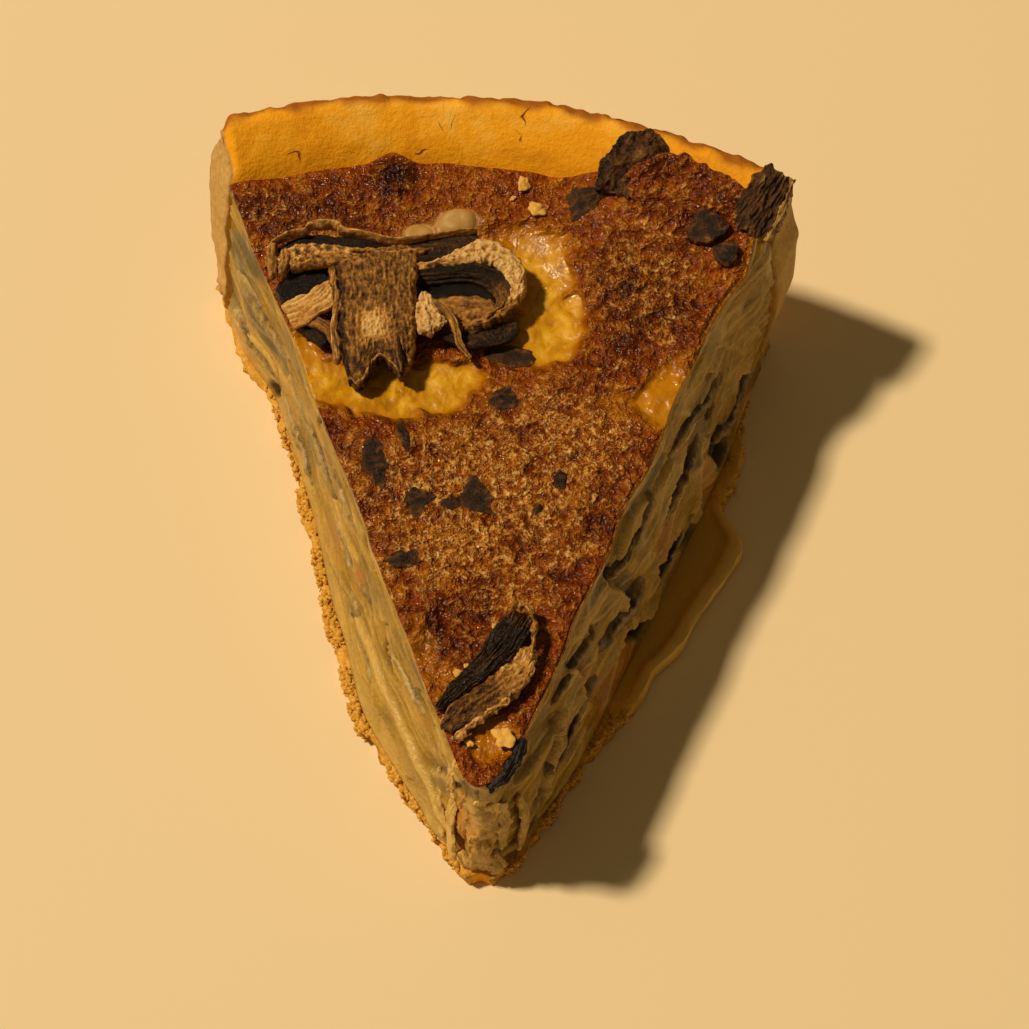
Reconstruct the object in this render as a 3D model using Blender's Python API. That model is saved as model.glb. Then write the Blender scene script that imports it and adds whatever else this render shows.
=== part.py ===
"""One slice of a deep mushroom quiche: a shortcrust case, set custard and slices of mushroom.

Metres, +Z up. The nose of the slice points to -Y and its rim to +Y. The origin is under the middle
of the slice's bounding box, on the surface that the slice stands on. Shapes are laid out from NOSE,
the upright line where the two cuts meet, in millimetres.
"""

import math

import bmesh
import bpy
from mathutils import Matrix, Vector, noise

MM = 0.001

# Driving dimensions, in millimetres unless they say otherwise.
TIN_RADIUS = 140.0  # outside of the rim
FOOT_RADIUS = 132.0  # outside of the case where it stands
RIM_HEIGHT = 47.0
FILL_HEIGHT = 39.5  # top of the custard at the rim
NOSE_HEIGHT = 35.5  # top of the custard at the nose, which has sagged
BASE_THICKNESS = 4.0
INNER_FOOT_RADIUS = 123.5  # inside of the wall at the bottom
INNER_FILL_RADIUS = 127.0  # inside of the wall where the custard ends
INNER_RIM_RADIUS = 135.5  # inside of the wall at its top
NOSE_SETBACK = 4.5  # how far the top of the custard lies behind the tip of the base
RIM_CROWN = 1.3  # how far the rounded top of the rim rises above its edges
FLAP_THINNING = 1.3  # how much thinner the base is where it hangs out widest
FLAP_WIDTH = 12.0  # beyond this width the base thins
CLIMB_HEIGHT = 6.5  # how far the custard climbs the wall at the right corner
FOLD_DEPTH = 1.1  # relief of the soft folds in the cuts
CUT_LEFT = math.radians(-22.7)
CUT_RIGHT = math.radians(21.5)
TIN_CENTRE = Vector((-14.4, 11.3))  # from the nose: the knife missed the middle of the tin
NOSE = Vector((2.0, -75.34, 0.0))
CLEARANCE = 0.45  # between a baked-in piece and its pocket
WALL_GAP = 0.7  # between the custard and the wall
FLOOR_GAP = 0.35  # between the custard and the base
WELD = 0.002  # points nearer than this are made one after a Boolean

# How far the base and the custard stand out from each cut: (distance from the nose, width).
BASE_LEFT = (
    (0, 3), (14, 5.5), (25, 8.5), (40, 11.5), (58, 10.2), (86, 6.8), (98, 5), (112, 5), (127, 7),
)
BASE_RIGHT = (
    (0, 2.5), (8, 6), (22, 8), (50, 14), (64, 17), (85, 20), (92, 13), (104, 13), (115, 9), (127, 7.2),
)
CUSTARD_LEFT = ((0, 2), (14, 3.5), (40, 6), (60, 5), (100, 3), (150, 2.5))
CUSTARD_RIGHT = ((0, 2.5), (10, 5), (30, 8), (60, 9), (100, 9.5), (125, 8), (150, 5))
# The same for the two ends of the wall: (height, width).
WALL_LEFT = ((0, 7), (4, 7), (15, 5.2), (28, 3.5), (36, 2), (44, 0.3))
WALL_RIGHT = ((0, 7.2), (4, 7.2), (11, 7.6), (22, 8.7), (31, 7.7), (40, 5.2), (46.5, 1))


def lerp(a, b, t):
    return a + (b - a) * t


def smooth(t):
    t = min(max(t, 0.0), 1.0)
    return t * t * (3 - 2 * t)


def read(table, s):
    """The value at s in a short table of (distance, value), smoothed between its rows."""
    for (s0, a), (s1, b) in zip(table, table[1:]):
        if s < s1:
            return lerp(a, b, smooth((s - s0) / (s1 - s0)))
    return table[-1][1]


def wobble(point, size, seed=0.0):
    """Smooth noise between about -1 and 1 that changes over size millimetres."""
    return noise.noise(point / size + Vector((seed, seed * 1.7, seed * 2.3)))


def heading(angle):
    """Unit vector away from the nose; angle 0 is +Y and grows towards +X."""
    return Vector((math.sin(angle), math.cos(angle), 0))


def reach(angle, radius):
    """How far from the nose the circle of this radius about the tin's centre lies."""
    across = heading(angle).xy.dot(TIN_CENTRE)
    return across + math.sqrt(across**2 - TIN_CENTRE.length_squared + radius**2)


def outward(side):
    """Level unit vector out of a cut face; side is -1 for the left cut and 1 for the right."""
    cut = CUT_LEFT if side < 0 else CUT_RIGHT
    return side * Vector((math.cos(cut), -math.sin(cut), 0))


def on_cut(side, s, out, z):
    """A point s along a cut, out from it and z up."""
    cut = CUT_LEFT if side < 0 else CUT_RIGHT
    return heading(cut) * s + outward(side) * out + Vector((0, 0, z))


def inner_radius(z):
    """The wall's inside: nearly upright, then sloping out to the rim above the custard."""
    upright = lerp(INNER_FOOT_RADIUS, INNER_FILL_RADIUS, z / FILL_HEIGHT)
    slope = smooth((z - FILL_HEIGHT + 2) / (RIM_HEIGHT - FILL_HEIGHT + 1.5))
    return lerp(upright, INNER_RIM_RADIUS, slope)


def outer_radius(z):
    return lerp(FOOT_RADIUS, TIN_RADIUS, smooth(z / RIM_HEIGHT * 0.94 + 0.03))


def block(steps):
    """A closed block from -1 to 1 each way, its sides divided into steps along X, Y and Z."""
    bm = bmesh.new()
    bmesh.ops.create_cube(bm, size=2)
    for axis, count in enumerate(steps):
        runs = [e for e in bm.edges if abs((e.verts[0].co - e.verts[1].co)[axis]) > 1.9]
        if count > 1:
            bmesh.ops.subdivide_edges(bm, edges=runs, cuts=count - 1, use_grid_fill=True)
    return bm


def face_out(bm):
    """Turns the faces of a closed shape outwards."""
    if bm.calc_volume(signed=True) < 0:
        bmesh.ops.reverse_faces(bm, faces=bm.faces)
    bm.normal_update()


def finish(bm, name):
    """Moves the shape from the nose's millimetres to the slice's metres and makes it an object."""
    bmesh.ops.triangulate(bm, faces=bm.faces)
    face_out(bm)
    bmesh.ops.transform(bm, matrix=Matrix.Scale(MM, 4) @ Matrix.Translation(NOSE), verts=bm.verts)
    mesh = bpy.data.meshes.new(name)
    bm.to_mesh(mesh)
    bm.free()
    mesh.shade_smooth()
    obj = bpy.data.objects.new(name, mesh)
    bpy.context.collection.objects.link(obj)
    return obj


def material(name, colour, roughness):
    mat = bpy.data.materials.new(name)
    mat.use_nodes = True
    shader = mat.node_tree.nodes["Principled BSDF"]
    shader.inputs["Base Color"].default_value = (*colour, 1)
    shader.inputs["Roughness"].default_value = roughness
    shader.inputs["Metallic"].default_value = 0
    return mat


# The shortcrust case: a flat base with torn edges, and one bent wall with a smooth sloping rim.

CASE_STEPS = (16, 27, 2)
BASE_STEPS = 18  # of the 27 from the nose to the rim's top, how many lie in the base
CASE_CORNER = 2 * BASE_STEPS / CASE_STEPS[1] - 1


def case_point(u, v, w):
    """u runs across the slice, v from the nose along the base and up the wall, w from outside to inside."""
    across = 1.3 * u - 0.3 * u**3
    angle = lerp(CUT_LEFT, CUT_RIGHT, (across + 1) / 2)
    side = -1 if u < 0 else 1
    in_base = v < CASE_CORNER
    if in_base:
        t = (v + 1) / (CASE_CORNER + 1)
        out = Vector((lerp(0.6, reach(angle, FOOT_RADIUS), t), 0))
        inner = Vector((lerp(0.8, reach(angle, INNER_FOOT_RADIUS), t), BASE_THICKNESS))
    else:
        t = (v - CASE_CORNER) / (1 - CASE_CORNER)
        z_out = lerp(0, RIM_HEIGHT - 1.0, t)
        z_in = lerp(BASE_THICKNESS, RIM_HEIGHT - 0.6, t)
        out = Vector((reach(angle, outer_radius(z_out)), z_out))
        inner = Vector((reach(angle, inner_radius(z_in)), z_in))
    r, z = out.lerp(inner, (w + 1) / 2)
    point = heading(angle) * r + Vector((0, 0, z))
    crown = smooth((z - 38) / 8)
    rough = (0.7 * wobble(point, 9, 1) + 0.5 * wobble(point, 4, 2)) * (1 - w) / 2
    point.z += crown * (RIM_CROWN * (1 - w * w) + rough)
    edge = abs(u) ** 5
    if in_base:
        width = read(BASE_LEFT if u < 0 else BASE_RIGHT, r)
    else:
        width = read(WALL_LEFT if u < 0 else WALL_RIGHT, z)
    crumble = wobble(point, 6, 3) + 0.6 * wobble(point, 3, 4)
    crumble *= 1.3 if z < 12 else 0.45
    point += outward(side) * edge * (width + crumble)
    if in_base and w > 0:
        point.z -= edge * FLAP_THINNING * smooth((width - FLAP_WIDTH) / 8)
    return point


def make_case():
    bm = block(CASE_STEPS)
    for vert in bm.verts:
        vert.co = case_point(*vert.co)
    obj = finish(bm, "crust_case")
    obj.data.materials.append(material("baked shortcrust", (0.74, 0.36, 0.07), 0.75))
    return obj


# The custard: one solid, browned on top, whose cut faces show soft level folds.

BUMP = Vector((-23, 136, 0))  # a blister against the wall
BUMP_HEIGHT = 2.4
# Where a mushroom slice lies on the top: its middle, half-widths and underside.
TOP_SLICE_SEAT = (-21, 102, 31, 23, 38.2)
NOSE_SLICE_SEAT = (0.5, 26, 11, 16, 36.2)


def top_height(u, v, flat):
    """Height of the browned top; flat is the point in plan."""
    z = lerp(NOSE_HEIGHT, FILL_HEIGHT, smooth(v * 1.2))
    climb = smooth((v - 0.86) / 0.13) * smooth((u - 0.15) / 0.45)
    z += climb * CLIMB_HEIGHT
    z += 0.9 * wobble(flat, 17, 5) + 0.7 * wobble(flat, 8, 6)
    z += BUMP_HEIGHT * (1 - smooth((flat - BUMP).length / 6))
    for x, y, wide, deep, seat in (TOP_SLICE_SEAT, NOSE_SLICE_SEAT):
        away = math.hypot((flat.x - x) / wide, (flat.y - y) / deep)
        z = lerp(min(z, seat - FLOOR_GAP), z, smooth((away - 1) / 0.3))
    return z


def custard_face(side, s, z):
    """How far the cut custard stands out from its cut: most at the foot."""
    table = CUSTARD_LEFT if side < 0 else CUSTARD_RIGHT
    base = 0 if side < 0 else 0.9
    return base + read(table, s) * max(1 - z / FILL_HEIGHT, 0) ** 0.9


def custard_point(u, v, w):
    """u runs across the slice, v from the nose to the wall and w from the base to the browned top."""
    across = 1.2 * u - 0.2 * u**3
    angle = lerp(CUT_LEFT, CUT_RIGHT, (across + 1) / 2)
    v, w = (v + 1) / 2, (w + 1) / 2
    guess = heading(angle) * lerp(NOSE_SETBACK, reach(angle, INNER_FILL_RADIUS), v)
    low = BASE_THICKNESS + FLOOR_GAP
    z = lerp(low, top_height(across, v, guess), w)
    start = lerp(1.4, NOSE_SETBACK, smooth(w * 1.1))
    r = lerp(start, reach(angle, inner_radius(z) - WALL_GAP), v)
    point = heading(angle) * r + Vector((0, 0, z))
    side = -1 if u < 0 else 1
    edge = abs(u) ** 4
    folds = wobble(Vector((r * 0.3, side * 9, z)), 4.5, 7)
    folds += 0.6 * wobble(Vector((r * 0.5, side * 5, z)), 2.6, 8)
    within = smooth((z - low) / 3) * smooth((r - 2) / 8)
    return point + outward(side) * edge * (custard_face(side, r, z) + FOLD_DEPTH * folds * within)


def make_custard():
    bm = block((17, 32, 9))
    for vert in bm.verts:
        vert.co = custard_point(*vert.co)
    obj = finish(bm, "custard_filling")
    obj.data.materials.append(material("set custard, browned on top", (0.45, 0.2, 0.05), 0.45))
    return obj


# Mushroom: every slice and strip is a soft slab bent along a smooth curve.

UP = Vector((0, 0, 1))


def curve(points, t):
    """The smooth curve through the points, at t from 0 to 1."""
    last = len(points) - 1
    i = min(int(max(t, 0.0) * last), last - 1)
    f = t * last - i
    a, b, c, d = points[max(i - 1, 0)], points[i], points[i + 1], points[min(i + 2, last)]
    return (2 * b + (c - a) * f + (2 * a - 5 * b + 4 * c - d) * f**2 + (3 * b - a - 3 * c + d) * f**3) / 2


def arc(x, y, z, wide, deep, start, stop, count):
    """Points on a level ellipse, from one angle to another in degrees, 0 along +X."""
    turns = [math.radians(lerp(start, stop, i / (count - 1))) for i in range(count)]
    return [(x + wide * math.cos(turn), y + deep * math.sin(turn), z) for turn in turns]


def slab(path, breadth, thickness, facing=UP, steps=(8, 2, 2), ruffle=0.4, end=0.55, notch=0.0, grow=0.0):
    """A rounded slab along path, whose thickness points towards facing. notch forks its far end."""
    path = [Vector(p) for p in path]
    bm = block(steps)
    for vert in bm.verts:
        u, v, w = vert.co
        t = (u + 1) / 2
        tangent = (curve(path, min(t + 0.03, 1)) - curve(path, max(t - 0.03, 0))).normalized()
        beside = tangent.cross(facing).normalized()
        normal = beside.cross(tangent)
        narrow = lerp(end, 1, math.sqrt(max(1 - abs(u) ** 4, 0)))
        corner = 0.5 if steps[2] > 1 else 0.0
        a = v * math.sqrt(1 - corner * w * w) * narrow * breadth / 2
        b = w * math.sqrt(1 - v * v / 2) * narrow * thickness / 2
        centre = curve(path, t)
        lift = ruffle * wobble(centre + beside * a, 5, 11)
        fork = tangent * notch * smooth((u - 0.5) / 0.5) * (abs(v) - 0.6)
        vert.co = centre + beside * a + normal * (b + lift) + fork
    face_out(bm)
    if grow:
        shifts = [(vert, vert.normal * grow) for vert in bm.verts]
        for vert, shift in shifts:
            vert.co += shift
    return bm


def boolean(obj, operation, helpers):
    """Joins or cuts obj with all helpers at once, applies it, and removes the helpers."""
    group = bpy.data.collections.new("helpers")
    bpy.context.scene.collection.children.link(group)
    for helper in helpers:
        group.objects.link(helper)
    modifier = obj.modifiers.new(operation.lower(), "BOOLEAN")
    modifier.operation = operation
    modifier.operand_type = "COLLECTION"
    modifier.collection = group
    bpy.context.view_layer.update()
    graph = bpy.context.evaluated_depsgraph_get()
    mesh = bpy.data.meshes.new_from_object(obj.evaluated_get(graph))
    obj.modifiers.remove(modifier)
    old = obj.data
    obj.data = mesh
    bpy.data.meshes.remove(old)
    for helper in helpers:
        bpy.data.objects.remove(helper)
    bpy.data.collections.remove(group)
    tidy = bmesh.new()
    tidy.from_mesh(mesh)
    bmesh.ops.remove_doubles(tidy, verts=tidy.verts, dist=WELD * MM)
    bmesh.ops.dissolve_degenerate(tidy, edges=tidy.edges, dist=WELD * MM)
    bmesh.ops.triangulate(tidy, faces=tidy.faces)
    tidy.to_mesh(mesh)
    tidy.free()
    mesh.shade_smooth()


def trim_below(obj, z):
    """Gives obj a flat underside at this height."""
    bm = bmesh.new()
    bmesh.ops.create_cube(bm, size=2 * TIN_RADIUS)
    bmesh.ops.translate(bm, vec=(0, TIN_RADIUS / 2, z - TIN_RADIUS), verts=bm.verts)
    boolean(obj, "DIFFERENCE", [finish(bm, "trim")])


# Each mushroom piece is one or more slabs: its path, then its breadth and thickness.
TOP_SLICE = (
    dict(path=((-46, 113, 41.5), (-38, 118, 42.5), (-26, 117.5, 42.3), (-14, 117, 42), (-3, 118, 41.5)),
         breadth=4.6, thickness=7.5, steps=(10, 2, 2)),
    dict(path=((-45, 109.5, 40.8), (-36, 112.5, 41.3), (-24, 112.7, 41.8), (-10, 113, 41.5)),
         breadth=7, thickness=5.4, steps=(8, 3, 2)),
    dict(path=((-45.6, 114, 41), (-44.8, 106, 41), (-41, 100, 40.5), (-34.5, 96.8, 40)),
         breadth=3.6, thickness=6),
    dict(path=((-41.5, 100.3, 40), (-37, 102, 40.8), (-30.5, 104, 41)),
         breadth=7, thickness=4.4, steps=(4, 2, 2)),
    dict(path=((-23.5, 115.6, 41.5), (-24, 107, 42.4), (-23.5, 96, 42.2), (-22.8, 86, 41)),
         breadth=15.5, thickness=5.6, steps=(7, 5, 2), end=0.8, notch=6.0),
    dict(path=arc(-6.2, 105.6, 41.2, 8.6, 8.0, 150, -115, 9), breadth=4.4, thickness=6.4, steps=(15, 2, 2)),
    dict(path=((-17, 104, 39.2), (-8, 105, 39.2), (-0.5, 105.4, 39.2)),
         breadth=11, thickness=3.4, steps=(4, 2, 2)),
    dict(path=((-16.5, 96, 40.2), (-13.8, 100.3, 41.3), (-11.6, 105, 40.8)),
         breadth=5.4, thickness=4.6, steps=(4, 2, 2)),
    dict(path=((-12.5, 103.6, 41.6), (-9.4, 98.4, 42.4), (-6.2, 92.6, 39.8)),
         breadth=2, thickness=2.2, steps=(5, 2, 2), ruffle=0.1),
)
NOSE_SLICE = (
    dict(path=((-7.6, 19.5, 37), (-2, 29, 37.6), (3.5, 36.5, 38)),
         breadth=7, thickness=3.6, steps=(8, 3, 2), end=0.7),
    dict(path=((-3.5, 15.5, 36.6), (2.5, 23, 37), (7, 32, 37.4)),
         breadth=10.5, thickness=3.0, steps=(6, 3, 2), end=0.7),
)
RIM_SLICE = (
    dict(path=((22, 125.5, 41.5), (24, 132, 43.8), (27.5, 139, 47.2), (30, 143.5, 47.4)),
         breadth=13, thickness=4.6, facing=Vector((0.1, -0.4, 1)), steps=(6, 4, 2), ruffle=1.4, end=0.45),
    dict(path=((28, 136, 46.2), (39, 133.3, 46.4), (49, 129.3, 45.6)),
         breadth=6, thickness=3.2, steps=(6, 2, 2), ruffle=0.8),
)
CORNER_SLICE = (
    dict(path=(on_cut(1, 128, 1.6, 43.0), on_cut(1, 136, 1.8, 45.4), on_cut(1, 143.5, 1.8, 46.8)),
         breadth=9.5, thickness=2.6, facing=outward(1) * 0.7 + UP, steps=(6, 3, 2), ruffle=0.9, end=0.6),
)
NOSE_SKIN = (
    dict(path=((7.4, 13.5, 35.6), (5.8, 8.5, 35.0), (2.6, 4.0, 34.2)),
         breadth=3.2, thickness=2.4, facing=Vector((0.3, 0, 1)), steps=(5, 2, 2)),
)

# Slices that the knife went through: (distance from the nose, height at each end, length, thickness, proud).
BAND_DEPTH = 9.0
BAND_WAVE = 0.9
LEFT_BANDS = (
    (121, 27.5, 22, 30, 5.0, 1.0),
    (90, 22, 22, 28, 4.4, 0.8),
    (126, 12, 9, 22, 3.6, 0.8),
    (99, 9.5, 12, 24, 3.4, 0.7),
    (72, 31, 29, 24, 3.2, 0.7),
    (63, 20, 19, 22, 3.4, 0.7),
    (50, 10, 13, 22, 3.0, 0.7),
    (34, 27, 22, 20, 3.2, 0.7),
)
RIGHT_BANDS = (
    (96, 31, 27, 26, 3.8, 0.9),
    (85, 20, 22, 22, 4.6, 0.9),
    (112, 13, 10.5, 24, 4.4, 0.8),
    (76, 10.5, 8.5, 22, 3.4, 0.8),
    (64, 31, 29, 22, 3.2, 0.7),
    (54, 21, 16, 20, 5.4, 1.2),
    (36, 30, 28, 20, 3.2, 0.7),
    (31, 14, 18, 22, 3.6, 0.8),
)


def band(side, s, z0, z1, length, thickness, proud):
    """One cut slice: a slab lying along a cut, proud of its face, most of it inside the custard."""
    path = []
    for i in range(4):
        along = s + length * (i / 3 - 0.5)
        z = lerp(z0, z1, i / 3) + BAND_WAVE * math.sin(2.1 * i + 0.13 * s)
        path.append(on_cut(side, along, custard_face(side, along, z) + proud - BAND_DEPTH / 2, z))
    return (dict(path=path, breadth=BAND_DEPTH, thickness=thickness, steps=(6, 2, 1), ruffle=0.5),)


def make_piece(name, slabs, finish_material):
    """The slabs joined as one object."""
    solids = [finish(slab(**each), name if i == 0 else f"{name}_{i}") for i, each in enumerate(slabs)]
    if len(solids) > 1:
        boolean(solids[0], "UNION", solids[1:])
    solids[0].data.materials.clear()
    solids[0].data.materials.append(finish_material)
    return solids[0]


def make_pockets(name, slabs):
    """A copy of each slab, grown by the clearance."""
    return [finish(slab(**each, grow=CLEARANCE), f"pocket_{name}_{i}") for i, each in enumerate(slabs)]


# Scraps of leek and herb set in the browned top: place, length, breadth, turn in degrees.
SCRAPS = (
    (14.7, 130, 9, 6, 60),
    (1.4, 94, 9, 3.6, 0),
    (0.7, 83.7, 6, 5, 20),
    (-22.8, 69, 5, 8.5, 12),
    (-8.5, 61.5, 10, 6.5, 25),
    (-16.2, 49, 6, 3, 0),
    (40, 125, 7, 5.5, 30),
    (-17.6, 75, 2.4, 5, 20),
    (12, 66, 2.4, 3.6, 0),
)
SCRAP_HEIGHT = 1.5
# Crumbs and soft lumps of custard: place, breadth, height above the top.
LUMPS = (
    (-17.5, 122.5, 6, 1.4),
    (-9.6, 124.5, 8, 2.6),
    (3.3, 134, 3, 1.6),
    (6.1, 127.8, 4, 1.6),
    (4.2, 12.6, 5, 2.0),
    (1.8, 6.8, 3, 1.4),
)


def surface(x, y):
    """Height of the custard's top over a point in plan."""
    angle = math.atan2(x, y)
    across = 2 * (angle - CUT_LEFT) / (CUT_RIGHT - CUT_LEFT) - 1
    v = (math.hypot(x, y) - NOSE_SETBACK) / (reach(angle, INNER_FILL_RADIUS) - NOSE_SETBACK)
    return top_height(across, v, Vector((x, y, 0)))


def make_scraps():
    """Low chips and lumps to be fused to the browned top."""
    shapes = []
    for x, y, length, breadth, turn in SCRAPS:
        shapes.append((x, y, length / 2, breadth / 2, SCRAP_HEIGHT, turn))
    for x, y, breadth, height in LUMPS:
        shapes.append((x, y, breadth / 2, breadth / 2.4, height, 0))
    made = []
    for i, (x, y, a, b, height, turn) in enumerate(shapes):
        bm = bmesh.new()
        bmesh.ops.create_uvsphere(bm, u_segments=7, v_segments=3, radius=1)
        for vert in bm.verts:
            vert.co *= 1 + 0.25 * wobble(vert.co, 0.8, i)
        place = Matrix.Translation((x, y, surface(x, y) - 0.2)) @ Matrix.Rotation(math.radians(turn), 4, "Z")
        bmesh.ops.transform(bm, matrix=place @ Matrix.Diagonal((a, b, height, 1)), verts=bm.verts)
        made.append(finish(bm, f"scrap_{i}"))
    return made


def main():
    for obj in list(bpy.data.objects):
        bpy.data.objects.remove(obj)
    case = make_case()
    custard = make_custard()
    boolean(custard, "UNION", make_scraps())
    dried = material("dried mushroom", (0.2, 0.1, 0.035), 0.8)
    baked = material("browned mushroom", (0.16, 0.06, 0.02), 0.5)
    soft = material("cooked mushroom", (0.25, 0.19, 0.1), 0.45)
    black = material("black mushroom skin", (0.02, 0.015, 0.01), 0.4)
    seated = (
        ("mushroom_slice_top", TOP_SLICE, TOP_SLICE_SEAT[4]),
        ("mushroom_slice_nose", NOSE_SLICE, NOSE_SLICE_SEAT[4]),
    )
    for name, slabs, underside in seated:
        trim_below(make_piece(name, slabs, dried), underside)
    baked_in = [
        ("mushroom_slice_rim", RIM_SLICE, baked),
        ("mushroom_slice_corner", CORNER_SLICE, baked),
        ("mushroom_skin_nose", NOSE_SKIN, black),
    ]
    for side, word, bands in ((-1, "left", LEFT_BANDS), (1, "right", RIGHT_BANDS)):
        for i, row in enumerate(bands):
            baked_in.append((f"mushroom_cut_{word}_{i + 1}", band(side, *row), soft))
    for name, slabs, finish_material in baked_in:
        make_piece(name, slabs, finish_material)
    for body, cut in ((custard, baked_in), (case, baked_in[:2])):
        pockets = []
        for name, slabs, _ in cut:
            pockets += make_pockets(name, slabs)
        boolean(body, "DIFFERENCE", pockets)


main()
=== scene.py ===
"""A wedge of deep mushroom quiche, dressed for a close look.

The pastry, the custard and every mushroom slice are laid out in millimetres from the nose, the upright
line where the two cuts meet, by the same named sizes as the solids, and moved to metres when finished.
"""

import math
import random

import bmesh
import bpy
from mathutils import Matrix, Vector, noise


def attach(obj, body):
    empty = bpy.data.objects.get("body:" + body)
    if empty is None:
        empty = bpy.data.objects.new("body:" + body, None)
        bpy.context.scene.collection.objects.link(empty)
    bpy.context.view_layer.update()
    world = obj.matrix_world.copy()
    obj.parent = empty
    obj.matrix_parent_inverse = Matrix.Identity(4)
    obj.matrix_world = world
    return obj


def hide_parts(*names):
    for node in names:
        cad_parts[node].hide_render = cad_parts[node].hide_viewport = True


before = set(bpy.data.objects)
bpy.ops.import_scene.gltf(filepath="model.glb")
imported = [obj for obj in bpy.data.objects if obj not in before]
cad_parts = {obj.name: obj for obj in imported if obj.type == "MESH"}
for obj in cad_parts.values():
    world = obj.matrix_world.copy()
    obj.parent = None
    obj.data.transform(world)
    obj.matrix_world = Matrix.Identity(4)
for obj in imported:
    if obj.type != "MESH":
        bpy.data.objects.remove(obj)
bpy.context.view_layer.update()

MM = 0.001
UP = Vector((0, 0, 1))
AWAY = Vector((0, 1, 0))

# The sizes of the solids, in millimetres.
TIN_RADIUS = 140.0
FOOT_RADIUS = 132.0
RIM_HEIGHT = 47.0
FILL_HEIGHT = 39.5
NOSE_HEIGHT = 35.5
BASE_THICKNESS = 4.0
INNER_FOOT_RADIUS = 123.5
INNER_FILL_RADIUS = 127.0
INNER_RIM_RADIUS = 135.5
NOSE_SETBACK = 4.5
RIM_CROWN = 1.3
FLAP_THINNING = 1.3
FLAP_WIDTH = 12.0
CLIMB_HEIGHT = 6.5
FOLD_DEPTH = 1.1
CUT_LEFT = math.radians(-22.7)
CUT_RIGHT = math.radians(21.5)
TIN_CENTRE = Vector((-14.4, 11.3))
NOSE = Vector((2.0, -75.34, 0.0))
WALL_GAP = 0.7
FLOOR_GAP = 0.35
# (distance from the nose, width) for the base and the custard, (height, width) for the wall's ends.
BASE_LEFT = ((0, 3), (14, 5.5), (25, 8.5), (40, 11.5), (58, 10.2), (86, 6.8), (98, 5), (112, 5), (127, 7))
BASE_RIGHT = (
    (0, 2.5), (8, 6), (22, 8), (50, 14), (64, 17), (85, 20), (92, 13), (104, 13), (115, 9), (127, 7.2),
)
CUSTARD_LEFT = ((0, 2), (14, 3.5), (40, 6), (60, 5), (100, 3), (150, 2.5))
CUSTARD_RIGHT = ((0, 2.5), (10, 5), (30, 8), (60, 9), (100, 9.5), (125, 8), (150, 5))
WALL_LEFT = ((0, 7), (4, 7), (15, 5.2), (28, 3.5), (36, 2), (44, 0.3))
FOOT_SPREAD = ((0, 1.5), (14, 3.6), (25, 5.0), (40, 6.0), (58, 4.8), (86, 2.4), (127, 1.0))
WALL_RIGHT = ((0, 7.2), (4, 7.2), (11, 7.6), (22, 8.7), (31, 7.7), (40, 5.2), (46.5, 1))

DETAIL = 1.0


def lerp(a, b, t):
    return a + (b - a) * t


def clamp(t):
    return min(max(t, 0.0), 1.0)


def smooth(t):
    t = clamp(t)
    return t * t * (3 - 2 * t)


def read(table, s):
    """The value at s in a short table of (distance, value), smoothed between its rows."""
    for (s0, a), (s1, b) in zip(table, table[1:]):
        if s < s1:
            return lerp(a, b, smooth((s - s0) / (s1 - s0)))
    return table[-1][1]


def wobble(point, size, seed=0.0):
    """Smooth noise between about -1 and 1 that changes over size millimetres."""
    return noise.noise(point / size + Vector((seed, seed * 1.7, seed * 2.3)))


def heading(angle):
    return Vector((math.sin(angle), math.cos(angle), 0))


def reach(angle, radius):
    """How far from the nose the circle of this radius about the tin's centre lies."""
    across = heading(angle).xy.dot(TIN_CENTRE)
    return across + math.sqrt(across**2 - TIN_CENTRE.length_squared + radius**2)


def outward(side):
    """Level unit vector out of a cut face; side is -1 for the left cut and 1 for the right."""
    cut = CUT_LEFT if side < 0 else CUT_RIGHT
    return side * Vector((math.cos(cut), -math.sin(cut), 0))


def on_cut(side, s, out, z):
    cut = CUT_LEFT if side < 0 else CUT_RIGHT
    return heading(cut) * s + outward(side) * out + Vector((0, 0, z))


def inner_radius(z):
    upright = lerp(INNER_FOOT_RADIUS, INNER_FILL_RADIUS, z / FILL_HEIGHT)
    climb = clamp((z - FILL_HEIGHT + 2.5) / (RIM_HEIGHT - FILL_HEIGHT + 1.5))
    return lerp(upright, INNER_RIM_RADIUS, 0.6 * climb + 0.4 * climb**3)


def outer_radius(z):
    return lerp(FOOT_RADIUS, TIN_RADIUS, smooth(z / RIM_HEIGHT * 0.94 + 0.03))


def steps_of(*counts):
    return tuple(max(2, round(count * DETAIL)) for count in counts)


def block(steps, hidden=()):
    """A block from -1 to 1 each way, its sides divided into steps along X, Y and Z.

    Each side named in hidden, by the way it faces, swaps its fine faces for one fan: nothing of it shows.
    """
    bm = bmesh.new()
    bmesh.ops.create_cube(bm, size=2)
    for axis, count in enumerate(steps):
        runs = [e for e in bm.edges if abs((e.verts[0].co - e.verts[1].co)[axis]) > 1.9]
        if count > 1:
            bmesh.ops.subdivide_edges(bm, edges=runs, cuts=count - 1, use_grid_fill=True)
    for way in hidden:
        unseen = [f for f in bm.faces if all(v.co.dot(way) > 0.999 for v in f.verts)]
        bmesh.ops.delete(bm, geom=unseen, context="FACES")
        rim = [e for e in bm.edges if e.is_boundary]
        made = bmesh.ops.extrude_edge_only(bm, edges=rim)["geom"]
        fan = [v for v in made if isinstance(v, bmesh.types.BMVert)]
        bmesh.ops.pointmerge(bm, verts=fan, merge_co=way)
    return bm


def layer(bm, name):
    return bm.verts.layers.float.new(name)


def face_outward(bm):
    if bm.calc_volume(signed=True) < 0:
        bmesh.ops.reverse_faces(bm, faces=bm.faces)


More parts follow.
